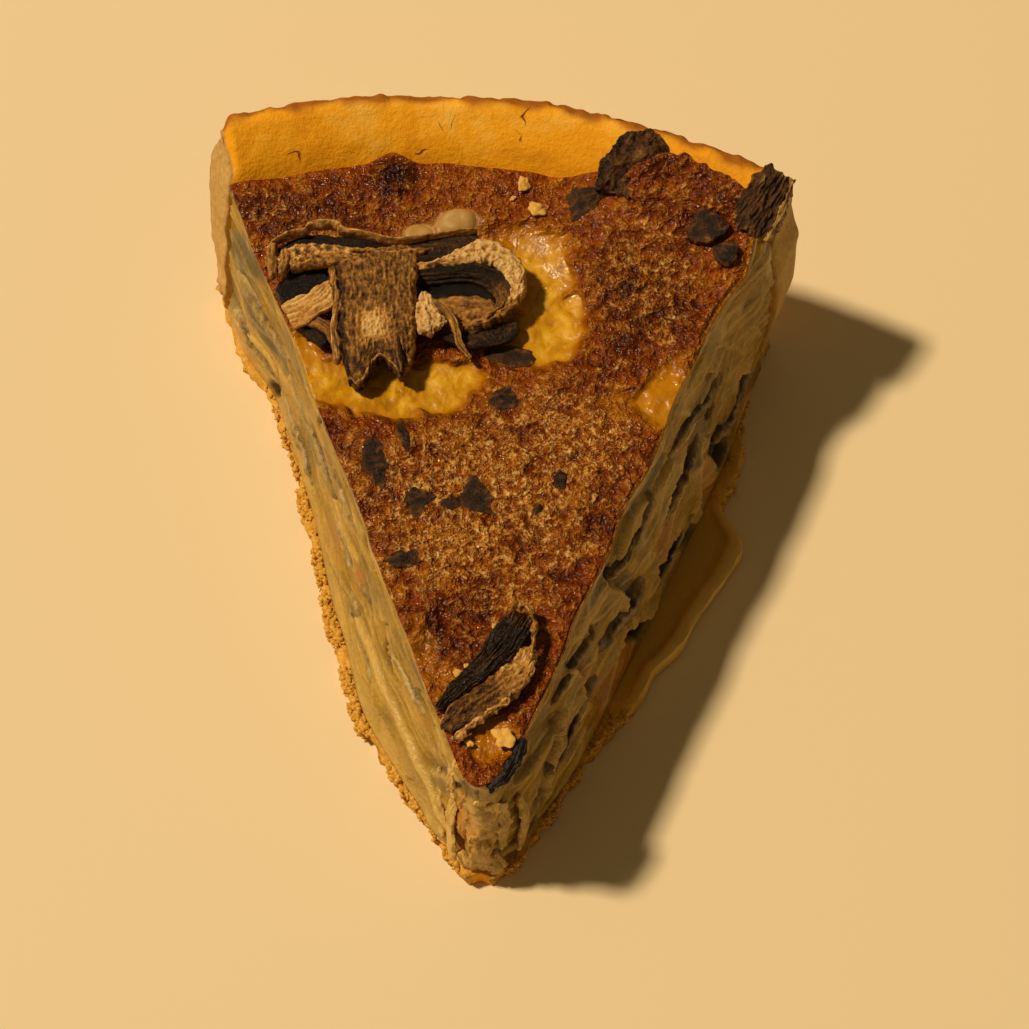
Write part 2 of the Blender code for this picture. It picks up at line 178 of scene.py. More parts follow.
def dress(bm, name, finish, replaces=()):
    """Moves the shape from the nose's millimetres to metres and makes it a piece of the slice."""
    face_outward(bm)
    bmesh.ops.transform(bm, matrix=Matrix.Scale(MM, 4) @ Matrix.Translation(NOSE), verts=bm.verts)
    mesh = bpy.data.meshes.new(name)
    bm.to_mesh(mesh)
    bm.free()
    mesh.shade_smooth()
    mesh.materials.append(finish)
    obj = bpy.data.objects.new(name, mesh)
    bpy.context.scene.collection.objects.link(obj)
    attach(obj, "root")
    if replaces:
        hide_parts(*replaces)


def merge(target, extra):
    """Adds the shape extra to the shape target, with its layers, and frees extra."""
    mesh = bpy.data.meshes.new("merge")
    extra.to_mesh(mesh)
    extra.free()
    target.from_mesh(mesh)
    bpy.data.meshes.remove(mesh)


# Finishes.


def colour(code):
    """Linear RGBA from an sRGB hex value."""
    parts = [int(code[i : i + 2], 16) / 255 for i in (0, 2, 4)]
    return (*[c / 12.92 if c <= 0.04045 else ((c + 0.055) / 1.055) ** 2.4 for c in parts], 1.0)


def add(tree, kind, links=None, **settings):
    """Adds a node. links gives each input its value or the socket that feeds it."""
    node = tree.nodes.new(kind)
    for name, value in settings.items():
        setattr(node, name, value)
    for name, value in (links or {}).items():
        socket = node.inputs[name]
        if isinstance(value, bpy.types.NodeSocket):
            tree.links.new(value, socket)
        else:
            socket.default_value = value
    return node


def start(name, roughness, ior=1.45, subsurface=0.0, depth=1.0, specular=0.5):
    """A new material, its tree and its shader. depth is how far light scatters in it, in mm."""
    mat = bpy.data.materials.new(name)
    mat.use_nodes = True
    shader = mat.node_tree.nodes["Principled BSDF"]
    shader.inputs["Roughness"].default_value = roughness
    shader.inputs["IOR"].default_value = ior
    shader.inputs["Specular IOR Level"].default_value = specular
    shader.inputs["Subsurface Weight"].default_value = subsurface
    shader.inputs["Subsurface Radius"].default_value = (1.0, 0.5, 0.2)
    shader.inputs["Subsurface Scale"].default_value = depth * MM
    return mat, mat.node_tree, shader


def speckle(tree, size, place, detail=3.0, stretch=None, rough=0.6, warp=0.0):
    """Noise whose features are size millimetres across."""
    vector = place.outputs["Object"]
    if stretch:
        vector = add(tree, "ShaderNodeMapping", {"Vector": vector, "Scale": stretch}).outputs[0]
    node = add(
        tree, "ShaderNodeTexNoise",
        {
            "Vector": vector, "Scale": 1 / (size * MM), "Detail": detail,
            "Roughness": rough, "Distortion": warp,
        },
    )
    return node.outputs["Fac"]


def curve_of(tree, value, low, high, start_value=0.0, end_value=1.0):
    """value stretched so that low gives start_value and high gives end_value."""
    return add(
        tree, "ShaderNodeMapRange",
        {"Value": value, "From Min": low, "From Max": high, "To Min": start_value, "To Max": end_value},
    ).outputs["Result"]


def ramp(tree, value, *stops):
    """The colour at value along stops of (place, sRGB hex value)."""
    node = add(tree, "ShaderNodeValToRGB", {"Fac": value})
    elements = node.color_ramp.elements
    while len(elements) < len(stops):
        elements.new(0.5)
    for element, (place, code) in zip(elements, stops):
        element.position = place
        element.color = colour(code)
    return node.outputs["Color"]


def mix(tree, amount, first, second):
    """Colour from first to second by amount; each is a socket or an sRGB hex value."""
    node = add(tree, "ShaderNodeMix", {"Factor": amount}, data_type="RGBA")
    for socket, value in ((node.inputs["A"], first), (node.inputs["B"], second)):
        socket = next(s for s in node.inputs if s.name == socket.name and s.type == "RGBA")
        if isinstance(value, bpy.types.NodeSocket):
            tree.links.new(value, socket)
        else:
            socket.default_value = colour(value)
    return next(s for s in node.outputs if s.type == "RGBA")


def either(tree, share, first, second):
    """Number from first to second by share."""
    node = add(tree, "ShaderNodeMix", {"Factor": share, "A": first, "B": second}, data_type="FLOAT")
    return node.outputs["Result"]


def calc(tree, operation, first, second=0.0):
    node = add(tree, "ShaderNodeMath", operation=operation)
    for socket, value in zip(node.inputs, (first, second)):
        if isinstance(value, bpy.types.NodeSocket):
            tree.links.new(value, socket)
        else:
            socket.default_value = value
    return node.outputs[0]


def times(tree, first, second):
    return calc(tree, "MULTIPLY", first, second)


def plus(tree, first, second):
    return calc(tree, "ADD", first, second)


def minus(tree, first, second):
    return calc(tree, "SUBTRACT", first, second)


def blend_of(tree, first, share, second, other):
    """first times share plus second times other."""
    return plus(tree, times(tree, first, share), times(tree, second, other))


def attribute(tree, name):
    return add(tree, "ShaderNodeAttribute", attribute_name=name).outputs["Fac"]


def emboss(tree, shader, height, distance):
    """Bump of distance millimetres."""
    bump = add(tree, "ShaderNodeBump", {"Height": height, "Distance": distance * MM, "Strength": 1.0})
    tree.links.new(bump.outputs["Normal"], shader.inputs["Normal"])


def pastry_finish():
    """Baked shortcrust: dry, fine-grained and golden, browner along the top edge, pale where it was cut."""
    mat, tree, shader = start("baked shortcrust", 0.7, subsurface=0.06, depth=1.5, specular=0.3)
    place = add(tree, "ShaderNodeTexCoord")
    broad = speckle(tree, 11, place, 3)
    grain = speckle(tree, 1.1, place, 4, rough=0.65)
    fine = speckle(tree, 0.5, place, 3)
    golden = ramp(
        tree, blend_of(tree, broad, 0.7, grain, 0.3),
        (0.32, "E09206"), (0.45, "F6A608"), (0.54, "FEB012"), (0.68, "FFC24A"),
    )
    brown = mix(tree, attribute(tree, "browned"), golden, "A65E08")
    pale = ramp(
        tree, grain,
        (0.3, "AE8642"), (0.5, "C09A58"), (0.7, "CEAA6A"),
    )
    crumbly = ramp(
        tree, blend_of(tree, grain, 0.6, fine, 0.4),
        (0.32, "B07818"), (0.48, "D49C34"), (0.62, "E8B65A"), (0.75, "F4D088"),
    )
    cut = mix(tree, attribute(tree, "cut"), brown, pale)
    torn = mix(tree, attribute(tree, "torn"), cut, crumbly)
    line = times(tree, attribute(tree, "crack"), threads(tree, place, 8, 0.15, 0.004, 0.013))
    deep = mix(tree, line, torn, "9A5208")
    amber = mix(tree, attribute(tree, "soaked"), deep, "D2A040")
    lipped = mix(tree, attribute(tree, "lip"), amber, "EEC068")
    tree.links.new(lipped, shader.inputs["Base Color"])
    height = blend_of(tree, grain, 0.7, fine, 0.3)
    height = minus(tree, height, times(tree, line, 1.1))
    emboss(tree, shader, height, 0.35)
    return mat


def threads(tree, place, size, warp, thin, thick):
    """Curly lines: the places where a warped noise crosses its middle value."""
    away = calc(tree, "ABSOLUTE", minus(tree, speckle(tree, size, place, 1.5, warp=warp), 0.5))
    return curve_of(tree, away, thin, thick, 1.0, 0.0)


def skin_colour(tree, place, broad, middle, fine, curds):
    """The browned skin: nearly black through red-brown to orange, with tan curds, yellow where it is thin."""
    tan, yellowed = attribute(tree, "tan"), attribute(tree, "yellow")
    heat = blend_of(tree, blend_of(tree, broad, 0.35, middle, 0.45), 1.0, fine, 0.2)
    heat = minus(tree, heat, times(tree, attribute(tree, "burnt"), 0.13))
    baked = ramp(
        tree, heat,
        (0.29, "2E0C00"), (0.38, "561E00"), (0.47, "7E3603"), (0.55, "A2540A"), (0.64, "C07A1C"),
    )
    curd = ramp(
        tree, speckle(tree, 1.5, place, 3, rough=0.7),
        (0.35, "A45C14"), (0.48, "C68432"), (0.58, "DCA452"), (0.7, "F0CA84"),
    )
    skin = mix(tree, times(tree, curds, curve_of(tree, tan, 0, 1, 0.38, 0.85)), baked, curd)
    # Where the skin is thin the custard glows yellow, ringed with orange.
    glow = plus(tree, yellowed, times(tree, minus(tree, middle, 0.5), 0.45))
    glow = plus(tree, glow, times(tree, minus(tree, fine, 0.5), 0.2))
    ring = times(tree, curve_of(tree, glow, 0.0, 0.5), curve_of(tree, yellowed, 0.0, 0.22))
    heart = times(tree, curve_of(tree, glow, 0.32, 1.05), curve_of(tree, yellowed, 0.2, 0.75))
    yellow = ramp(
        tree, speckle(tree, 3.4, place, 3, stretch=(1.0, 0.6, 1.0), warp=0.8),
        (0.32, "A26C04"), (0.44, "C08606"), (0.54, "D49A12"), (0.66, "E2B23C"), (0.76, "ECC464"),
    )
    skin = mix(tree, heart, mix(tree, ring, skin, "B06C04"), yellow)
    return mix(tree, attribute(tree, "cream"), skin, "B48C48")


def cut_colour(tree, place, fine):
    """The cut custard: golden and streaky, with grey, amber, pale and dark places; the dark is painted shade.
    """
    streaks = speckle(tree, 3.4, place, 4, stretch=(0.3, 0.3, 2.0), warp=0.5)
    clouds = speckle(tree, 7, place, 3)
    body = ramp(
        tree, blend_of(tree, streaks, 0.75, fine, 0.25),
        (0.3, "64440A"), (0.42, "8E6A0C"), (0.52, "A67E14"), (0.62, "B8943A"), (0.74, "D0B26E"),
    )
    body = mix(tree, curve_of(tree, clouds, 0.5, 0.62, 0.0, 0.5), body, "86692C")
    body = mix(tree, curve_of(tree, clouds, 0.48, 0.36, 0.0, 0.6), body, "AA7A06")
    # The pale places are partly painted highlight on torn lips and ridges; the dark ones are painted shade in
    # gaps and hollows.
    for name, code in (("grey", "645026"), ("amber", "AE6C0A"), ("pale", "E4BE70"), ("dark", "2E1B07")):
        body = mix(tree, attribute(tree, name), body, code)
    return body


def curd_mask(tree, place, broad, middle):
    """Where beads and short curls of tan curd stand on the skin."""
    yellowed, cream = attribute(tree, "yellow"), attribute(tree, "cream")
    beads = curve_of(tree, speckle(tree, 1.0, place, 1.5, rough=0.5), 0.52, 0.58)
    curls = threads(tree, place, 2.0, 0.0, 0.015, 0.055)
    small_curls = threads(tree, place, 1.3, 0.2, 0.012, 0.05)
    curds = calc(tree, "MAXIMUM", beads, calc(tree, "MAXIMUM", curls, small_curls))
    gate = plus(tree, blend_of(tree, middle, 0.75, broad, 0.25), times(tree, attribute(tree, "tan"), 0.12))
    curds = times(tree, curds, curve_of(tree, gate, 0.5, 0.58))
    curds = times(tree, curds, curve_of(tree, yellowed, 0.1, 0.5, 1.0, 0.0))
    return times(tree, curds, curve_of(tree, cream, 0, 0.5, 1.0, 0.0))


def custard_finish():
    """Set egg custard: moist and streaky where cut, its top browned to a speckled, oily skin."""
    mat, tree, shader = start("set custard, browned on top", 0.4, ior=1.4, subsurface=0.1, depth=1.5)
    place = add(tree, "ShaderNodeTexCoord")
    broad = speckle(tree, 8, place, 4, rough=0.6)
    middle = speckle(tree, 2.6, place, 3, rough=0.6, warp=0.4)
    fine = speckle(tree, 0.95, place, 1.5, rough=0.5)
    skinned, yellowed, cream = (attribute(tree, name) for name in ("skin", "yellow", "cream"))
    curds = curd_mask(tree, place, broad, middle)
    skin = skin_colour(tree, place, broad, middle, fine, curds)
    tree.links.new(mix(tree, skinned, cut_colour(tree, place, fine), skin), shader.inputs["Base Color"])
    oily = curve_of(tree, speckle(tree, 3.0, place, 2), 0.4, 0.62, 0.14, 0.3)
    oily = plus(tree, oily, blend_of(tree, yellowed, 0.14, cream, 0.3))
    tree.links.new(either(tree, skinned, 0.36, oily), shader.inputs["Roughness"])
    rough = blend_of(tree, fine, 0.36, middle, 0.8)
    rough = times(tree, rough, curve_of(tree, yellowed, 0.1, 0.55, 1.0, 0.12))
    rough = times(tree, rough, curve_of(tree, cream, 0, 0.6, 1.0, 0.1))
    relief = plus(tree, rough, times(tree, curds, 0.16))
    emboss(tree, shader, times(tree, relief, curve_of(tree, skinned, 0, 1, 0.16, 1.0)), 2.6)
    return mat


def mushroom_finish(name, stops, roughness, wet_roughness, grain_mm=0.7, bump_mm=0.3, grain_tone=0.6):
    """Mushroom flesh: tone runs from its dark gills to its palest torn fibres; wet marks moist places."""
    mat, tree, shader = start(name, roughness, ior=1.42, subsurface=0.05, depth=1.0, specular=0.4)
    place = add(tree, "ShaderNodeTexCoord")
    grain = speckle(tree, grain_mm, place, 4, rough=0.7)
    tone = times(tree, minus(tree, grain, 0.5), grain_tone)
    tone = plus(tree, attribute(tree, "tone"), tone)
    tree.links.new(ramp(tree, tone, *stops), shader.inputs["Base Color"])
    tree.links.new(either(tree, attribute(tree, "wet"), roughness, wet_roughness), shader.inputs["Roughness"])
    emboss(tree, shader, grain, bump_mm)
    return mat


PASTRY = pastry_finish()
CUSTARD = custard_finish()
# Oven-dried mushroom: brown and matt, with tan, crumbly torn edges; its near-black end also colours the
# strips that are painted shade in the slice's hollows.
DRIED = mushroom_finish(
    "dried mushroom",
    ((0.0, "0A0502"), (0.2, "28170A"), (0.38, "5E3A14"), (0.56, "92642A"), (0.76, "CC9040"), (1.0, "F4CA84")),
    0.66, 0.2, bump_mm=0.7, grain_tone=0.85,
)
# Mushroom skin baked brown and slightly oily.
BROWNED = mushroom_finish(
    "browned mushroom",
    ((0.0, "140A04"), (0.3, "301C0A"), (0.5, "522E10"), (0.7, "74501E"), (1.0, "C8A25C")),
    0.4, 0.22, bump_mm=0.6, grain_tone=0.8,
)
# Mushroom cooked inside the custard: grey-green, translucent and moist.
COOKED = mushroom_finish(
    "cooked mushroom",
    ((0.0, "1A1108"), (0.3, "402C15"), (0.5, "6C5128"), (0.7, "937640"), (1.0, "BEA468")),
    0.4, 0.25, grain_mm=1.2, bump_mm=0.25,
)
# The black outer skin.
BLACK = mushroom_finish(
    "black mushroom skin",
    ((0.0, "080401"), (0.5, "1C0E04"), (0.8, "44260C"), (1.0, "8A6432")),
    0.42, 0.34,
)


# The pastry case.

# The base takes this many of the case's rows from nose to rim, as in the solids.
CASE_ROWS = 27
BASE_ROWS = 18
CASE_CORNER = 2 * BASE_ROWS / CASE_ROWS - 1
FINE_CASE = steps_of(190, 180, 6)
FINE_BASE_SHARE = 0.56

# Where the rim cracked: (share across the slice from -1 to 1, distance from the nose, length).
RIM_CRACKS = (
    (-0.755, 145, 1.5),
    (-0.485, 144, 2.0),
    (-0.3, 142, 1.2),
    (-0.2, 146.3, 1.6),
    (0.05, 142.2, 1.4),
    (0.08, 146.6, 1.5),
    (0.4, 141.4, 1.3),
    (0.425, 147.3, 1.5),
    (0.78, 145.0, 1.8),
)


def case_point(u, v, w):
    """u runs across the slice, v from the nose along the base and up the wall, w from outside to inside."""
    across = 1.3 * u - 0.3 * u**3
    angle = lerp(CUT_LEFT, CUT_RIGHT, (across + 1) / 2)
    side = -1 if u < 0 else 1
    in_base = v < CASE_CORNER
    if in_base:
        t = (v + 1) / (CASE_CORNER + 1)
        out = Vector((lerp(0.6, reach(angle, FOOT_RADIUS), t), 0))
        inner = Vector((lerp(0.8, reach(angle, INNER_FOOT_RADIUS), t), BASE_THICKNESS))
    else:
        t = (v - CASE_CORNER) / (1 - CASE_CORNER)
        z_out = lerp(0, RIM_HEIGHT - 1.0, t)
        z_in = lerp(BASE_THICKNESS, RIM_HEIGHT - 0.9, t)
        out = Vector((reach(angle, outer_radius(z_out)), z_out))
        inner = Vector((reach(angle, inner_radius(z_in)), z_in))
    r, z = out.lerp(inner, (w + 1) / 2)
    point = heading(angle) * r + Vector((0, 0, z))
    crown = smooth((z - 38) / 8)
    rough = (0.7 * wobble(point, 9, 1) + 0.5 * wobble(point, 4, 2)) * (1 - w) / 2
    arch = 1 - ((w + 0.35) / 1.35) ** 2 if w > -0.35 else 1 - 0.6 * ((w + 0.35) / 0.65) ** 2
    point.z += crown * (RIM_CROWN * arch + rough)
    edge = abs(u) ** 5
    if in_base:
        width = read(BASE_LEFT if u < 0 else BASE_RIGHT, r)
    else:
        width = read(WALL_LEFT if u < 0 else WALL_RIGHT, z)
    crumble = wobble(point, 6, 3) + 0.6 * wobble(point, 3, 4)
    crumble *= (1.3 if side < 0 else 0.5) if z < 12 else 0.45
    point += outward(side) * edge * (width + crumble)
    if in_base and w > 0:
        point.z -= edge * FLAP_THINNING * smooth((width - FLAP_WIDTH) / 8)
    return point, across, angle, width


def crack_at(across, r):
    """How near one of the rim's short cracks this place is, from 0 to 1."""
    nearest = min(
        math.hypot((across - middle) * 55, (r - far) * 0.8) / long for middle, far, long in RIM_CRACKS
    )
    return 1 - smooth((nearest - 0.5) / 0.6)


def make_pastry():
    bm = block(FINE_CASE)
    browned, cut, torn, crack, soaked, edge_lip = (
        layer(bm, n) for n in ("browned", "cut", "torn", "crack", "soaked", "lip")
    )
    for vert in bm.verts:
        u, share, w = vert.co
        share = (share + 1) / 2
        if share < FINE_BASE_SHARE:
            v = lerp(-1, CASE_CORNER, share / FINE_BASE_SHARE)
        else:
            v = lerp(CASE_CORNER, 1, (share - FINE_BASE_SHARE) / (1 - FINE_BASE_SHARE))
        point, across, angle, width = case_point(u, v, w)
        side = -1 if u < 0 else 1
        z = point.z
        r = math.hypot(point.x, point.y)
        rim = smooth((z - 37) / 5)
        near_cut = smooth((abs(u) - 0.965) / 0.03)
        # Crumbly, chunky edges at the foot.
        ragged = smooth((abs(u) - 0.8) / 0.18) * (1 - smooth((z - 6) / 6))
        flap = smooth((width - 12) / 3) * (1 if side > 0 and z < 8 else 0)
        if ragged > 0:
            chunk = noise.voronoi(point / 2.1)[0]
            point += outward(side) * ragged * (1 - 0.8 * flap) * (0.3 - chunk[0] * 1.7)
            if w > 0 and z < 6:
                point.z += ragged * (1 - 0.7 * flap) * (0.8 * wobble(point, 2.2, 12) - 0.2)
        # The flap's free edge is a thin, raised lip.
        lip = flap * smooth((abs(u) - 0.955) / 0.03)
        point.z += (1.6 if w > 0 else 0.3) * lip
        level = heading(angle)
        point += level * 0.2 * wobble(point, 3.5, 13) * rim
        # The rim's left end is rounded off.
        if side < 0:
            end = smooth((abs(u) - 0.86) / 0.14) * smooth((z - 34) / 12)
            point += level * -2.0 * end * (1 - w) / 2 - outward(side) * 1.2 * end
            point.z -= 1.8 * end * end
        # The rim's top edge is knobbly on its outer side.
        knobs = rim * smooth((0.4 - w) / 1.2)
        point.z += knobs * (0.8 * wobble(point, 3.2, 14) + 0.55 * wobble(point, 1.5, 15))
        point += level * knobs * 0.5 * wobble(point, 2.2, 18)
        vert.co = point
        vert[crack] = crack_at(across, r) if w > -0.9 and z > 38 else 0.0
        high = smooth((z - 33 + 5 * wobble(point, 12, 19)) / 12)
        top_edge = smooth((0.45 - w + 0.9 * wobble(point, 5, 16)) / 1.2) * high
        outside = smooth((-w - 0.2) / 0.8) * smooth((z - 6) / 20)
        vert[browned] = clamp(1.1 * top_edge + (0.4 + 0.6 * wobble(point, 10, 20)) * outside)
        vert[torn] = clamp(ragged * smooth((7 - z) / 3) * (1.0 + 0.3 * wobble(point, 3, 17))) * (1 - flap)
        vert[cut] = near_cut * smooth((z - 3) / 5) * 0.95 * (1 - flap)
        vert[edge_lip] = flap * smooth((abs(u) - 0.968) / 0.012)
        vert[soaked] = flap
    dress(bm, "shortcrust_case", PASTRY, ["crust_case"])


# The custard.

BUMP = Vector((-23, 136, 0))
BUMP_HEIGHT = 2.4
TOP_SLICE_SEAT = (-21, 102, 31, 23, 38.2)
NOSE_SLICE_SEAT = (0.5, 26, 11, 16, 36.2)
FINE_CUSTARD = steps_of(160, 256, 84)

# Areas of the browned top: (x, y, half-widths, turn in degrees, strength).
YELLOW_AREAS = (
    (6.5, 113, 8, 9.5, 0, 1.0),
    (9.5, 101, 6.5, 9.5, -15, 1.0),
    (6, 95, 8, 4, 10, 0.9),
    (-24, 86, 18, 7, -8, 1.0),
    (-39, 92, 6, 9, 15, 0.6),
    (-12, 86, 9, 6, 20, 1.0),
    (32, 84, 6, 9, -22, 0.62),
    (24, 83, 6, 4, 0, 0.25),
    (-12, 30, 4, 7, 20, 0.3),
    (-7, 26, 3, 3, 30, 0.3),
    (2, 14, 5, 5, 0, 0.45),
    (3, 121, 9, 4, -5, 0.5),
    (-11, 121, 12, 4, 0, 0.4),
)
BURNT_AREAS = (
    (-38, 127, 21, 7, 3, 0.6),
    (-23, 134, 6, 5, 0, 1.0),
    (-4, 35, 10, 9, 0, 0.55),
    (-33, 77, 8, 6, 20, 0.3),
    (28, 105, 13, 13, 0, 0.6),
    (36, 128, 13, 7, -25, 0.6),
    (19, 56, 5, 12, -20, 0.4),
    (8, 21, 4, 10, -20, 0.3),
    (20, 92, 8, 4, 0, 0.4),
)
TAN_AREAS = (
    (-2, 62, 24, 22, 0, 1.0),
    (14, 76, 14, 14, 0, 0.9),
    (-25, 66, 8, 10, 0, 0.7),
    (27, 112, 12, 14, 0, 0.55),
    (-48, 122, 9, 8, 0, 0.4),
    (5, 44, 10, 7, 0, 0.7),
)
CREAM_DOMES = (
    (-9.6, 124.5, 4.6, 3.4, 0, 2.6),
    (-17.3, 122.3, 3.4, 2.4, 0, 1.2),
)
# Folds torn open by the knife, each along a bent line of (distance, height): side of the slice, which side
# of the line drops away (1 is its left), how far, how dark the gap and how pale the torn lip. The gap's
# darkness is painted shade; the lip is pale torn custard, brightened further by a painted highlight.
FOLDS = (
    (-1, -1, 0.4, 0.0, 0.6,
     ((8, 36.6), (25, 37.2), (40, 37.8), (60, 37.6), (85, 37.2), (110, 37.6), (135, 37.8))),
    (-1, -1, 1.3, 0.55, 0.6, ((5, 27), (12, 29.5), (20, 31), (27, 32.5))),
    (-1, 1, 1.0, 0.25, 0.8, ((3, 8), (14, 11), (28, 13), (42, 13.5), (58, 12))),
    (-1, -1, 0.9, 0.35, 0.6, ((16, 20), (26, 22), (36, 22), (42, 20))),
    (-1, 1, 0.8, 0.35, 0.6, ((60, 24), (70, 21), (82, 21.5), (94, 24))),
    (-1, -1, 1.0, 0.7, 0.4, ((27, 32.5), (29.5, 29), (33, 30.5), (37, 29.5), (42, 29), (45, 27), (48, 24))),
    (-1, 1, 0.6, 0.6, 0.2, ((49, 30), (54, 31), (58, 32.5), (62, 35))),
    (-1, 1, 1.2, 0.8, 0.6, ((11, 24.5), (14, 21), (17, 17.5), (20, 13))),
    (-1, -1, 0.8, 0.6, 0.3, ((21, 9), (25, 3.5), (31, 4.5), (36, 8.5), (40, 9.5), (46, 8))),
    (-1, -1, 0.5, 0.25, 0.6, ((106, 26), (110, 27), (118, 24.5), (126, 22.5), (131, 20))),
    (-1, 1, 0.5, 0.2, 0.6, ((106, 26), (108, 19.5), (112, 15.5), (122, 14.5), (130, 14))),
    (-1, 1, 0.8, 0.3, 0.7, ((113, 12.5), (118, 13.2), (125, 12.5), (132, 9.5), (138, 4))),
    (-1, -1, 0.5, 0.4, 0.3, ((79, 15.5), (83, 15), (87, 15.4), (92, 13.8))),
    (-1, -1, 0.5, 0.5, 0.2, ((67, 35.6), (70, 35.4), (74, 34.6))),
    (-1, -1, 0.6, 0.3, 0.3, ((60, 12), (70, 8), (80, 6.5), (90, 7.5))),
    (-1, 1, 0.5, 0.3, 0.3, ((70, 28), (73, 25), (77, 22))),
    (1, -1, 0.6, 0.1, 0.6,
     ((6, 36), (20, 36.4), (38, 37.2), (54, 37.6), (70, 37.4), (84, 36.6), (100, 37), (118, 37.6))),
    (1, 1, 1.3, 0.6, 0.9, ((57.8, 30), (60.5, 33), (65.5, 33.6), (71, 31.6), (77.8, 29.5), (85, 29))),
    (1, -1, 0.9, 0.4, 0.2, ((60, 30), (62.5, 31.5), (66.5, 30.5), (71, 27))),
    (1, -1, 0.9, 0.3, 0.5, ((66.7, 36.2), (73, 36.9), (80, 35.4), (84.5, 31.8))),
    (1, -1, 2.0, 0.6, 0.8, ((69, 18), (71, 20.5), (76.7, 23.4), (82, 24.6), (86.7, 25.1), (92, 25.7))),
    (1, -1, 2.0, 0.5, 0.9, ((88, 4), (89.2, 10), (90.8, 14.5), (94.4, 18.4), (98, 21.2))),
    (1, -1, 2.0, 1.0, 0.7, ((70, 10.7), (73.5, 12.4), (77.5, 12.4), (82, 10), (87.5, 4))),
    (1, -1, 2.8, 1.0, 1.0, ((53.5, 14), (57.8, 9.6), (62, 6.8), (67.8, 5.4))),
    (1, -1, 1.1, 0.4, 0.6, ((67.8, 5.7), (69.4, 12.9), (70.5, 18.4))),
    (1, 1, 3.0, 1.1, 0.6, ((55, 35), (53, 31.5), (54.5, 27), (56.5, 21.5), (54, 17.5), (51.5, 15))),
    (1, 1, 1.6, 0.7, 0.7, ((33, 32), (35.5, 28), (37, 23), (36, 18), (36.7, 11))),
    (1, 1, 1.6, 0.8, 0.6, ((10.5, 24), (17, 23.3), (24, 23), (28, 23.5))),
    (1, -1, 2.0, 0.9, 0.9, ((30, 25), (26.5, 19.5), (22, 15), (16.5, 8))),
    (1, -1, 0.7, 0.7, 0.3, ((14, 15.5), (16.5, 16), (20, 14))),
    (1, 1, 0.9, 0.9, 0.3, ((43.5, 31), (43, 28), (44, 25))),
    (1, -1, 0.8, 0.7, 0.2,
     ((88, 25.5), (93, 27.5), (98, 26.5), (103, 27.5), (109, 26), (110, 23.4), (104, 22.6))),
    (1, -1, 1.5, 1.0, 0.2, ((102.6, 33), (104.5, 31), (107, 29.6))),
    (1, -1, 1.6, 0.7, 0.8, ((110, 15.5), (114, 16.8), (118, 14.5), (121.5, 8.5))),
    (1, -1, 0.9, 0.6, 0.5, ((119.5, 29.5), (122.5, 32), (126, 32.6), (129.5, 31.2))),
    (1, 1, 0.9, 0.5, 0.5, ((121.5, 26), (124, 22.5), (125, 18))),
    (1, 1, 0.9, 0.5, 0.5, ((128, 27), (131, 24), (133, 20))),
    (1, -1, 0.9, 0.2, 0.5, ((108, 34), (112, 30), (116, 24), (118, 19))),
    (1, -1, 1.5, 0.5, 0.5, ((38, 12), (42, 12.6), (47, 13.4), (51, 12.4))),
    (1, -1, 1.3, 0.8, 0.4, ((19, 5), (24, 6), (29, 5.4), (34, 5.2))),
)
# Patches on the cuts: (side, distance, height, half-length, half-height, turn in degrees, strength).
# The hollows are sunk into the cut and darkened inside with painted shade.
HOLLOWS = (
    (-1, 42, 21, 2.0, 3.0, 0, 1.0),
    (-1, 116, 5, 2.0, 5.0, 35, 1.0),
    (-1, 106.5, 9.5, 0.9, 1.8, 30, 0.9),
    (-1, 88, 32, 0.9, 2.2, 15, 0.7),
    (-1, 52, 37, 2.6, 0.8, 0, 0.8),
    (-1, 7, 29, 6, 1.6, -55, 0.6),
    (1, 102, 9.5, 3.4, 7.5, 10, 1.0),
    (1, 58.5, 6.5, 8, 2.0, -48, 1.0),
    (1, 53.5, 32.5, 1.6, 2.4, 0, 1.0),
    (1, 79, 8.5, 6, 1.7, -38, 0.8),
    (1, 101.5, 22.5, 2.2, 1.0, 0, 0.9),
    (1, 11, 7, 4, 1.4, 0, 0.8),
)
GREYS = (
    (-1, 131, 32, 10, 5, -30, 1.0),
    (-1, 55, 24, 6, 4, 10, 0.5),
    (-1, 104, 33, 8, 3, 0, 0.5),
    (-1, 119, 20.5, 12, 5.5, -8, 1.0),
    (-1, 134, 27, 8, 4.0, -25, 1.0),
    (-1, 138, 10, 5, 6, -30, 0.9),
    (-1, 91.5, 19, 5, 5.5, 0, 0.7),
    (-1, 30, 31, 8, 3.4, 0, 0.5),
    (-1, 15, 18, 3, 7, 25, 0.7),
    (-1, 70, 35.6, 5, 1.4, 0, 0.6),
    (1, 75, 34, 9, 2.6, -12, 1.0),
    (1, 66, 27, 4.5, 4.0, -30, 0.6),
    (1, 59, 20.5, 2.4, 6.5, 5, 0.9),
    (1, 94, 21.5, 6.5, 6, 10, 0.7),
    (1, 104, 25, 6.5, 2.2, 0, 1.0),
    (1, 48, 35, 6, 1.8, 0, 0.6),
    (1, 19, 28, 8, 5, 10, 0.6),
    (1, 80, 8, 7, 2.8, -38, 0.9),
    (1, 128, 4, 9, 6, -20, 0.5),
)
AMBERS = (
    (1, 94, 10.5, 3.6, 6.5, 20, 1.0),
    (1, 74, 17, 5.5, 4.6, 25, 0.85),
    (1, 46, 6, 11, 6, 0, 0.9),
    (1, 38.5, 18, 3, 8, 0, 0.4),
    (1, 117, 6, 5, 5, -30, 0.5),
    (-1, 59, 20, 2, 3, 0, 1.0),
    (-1, 7, 16, 5, 8, 20, 0.9),
    (-1, 132, 5, 9, 4.5, -15, 0.35),
    (-1, 72, 13, 8, 5, -30, 0.3),
)


# A fold no longer shapes its cut this many millimetres beyond its own line.
FOLD_REACH = 9


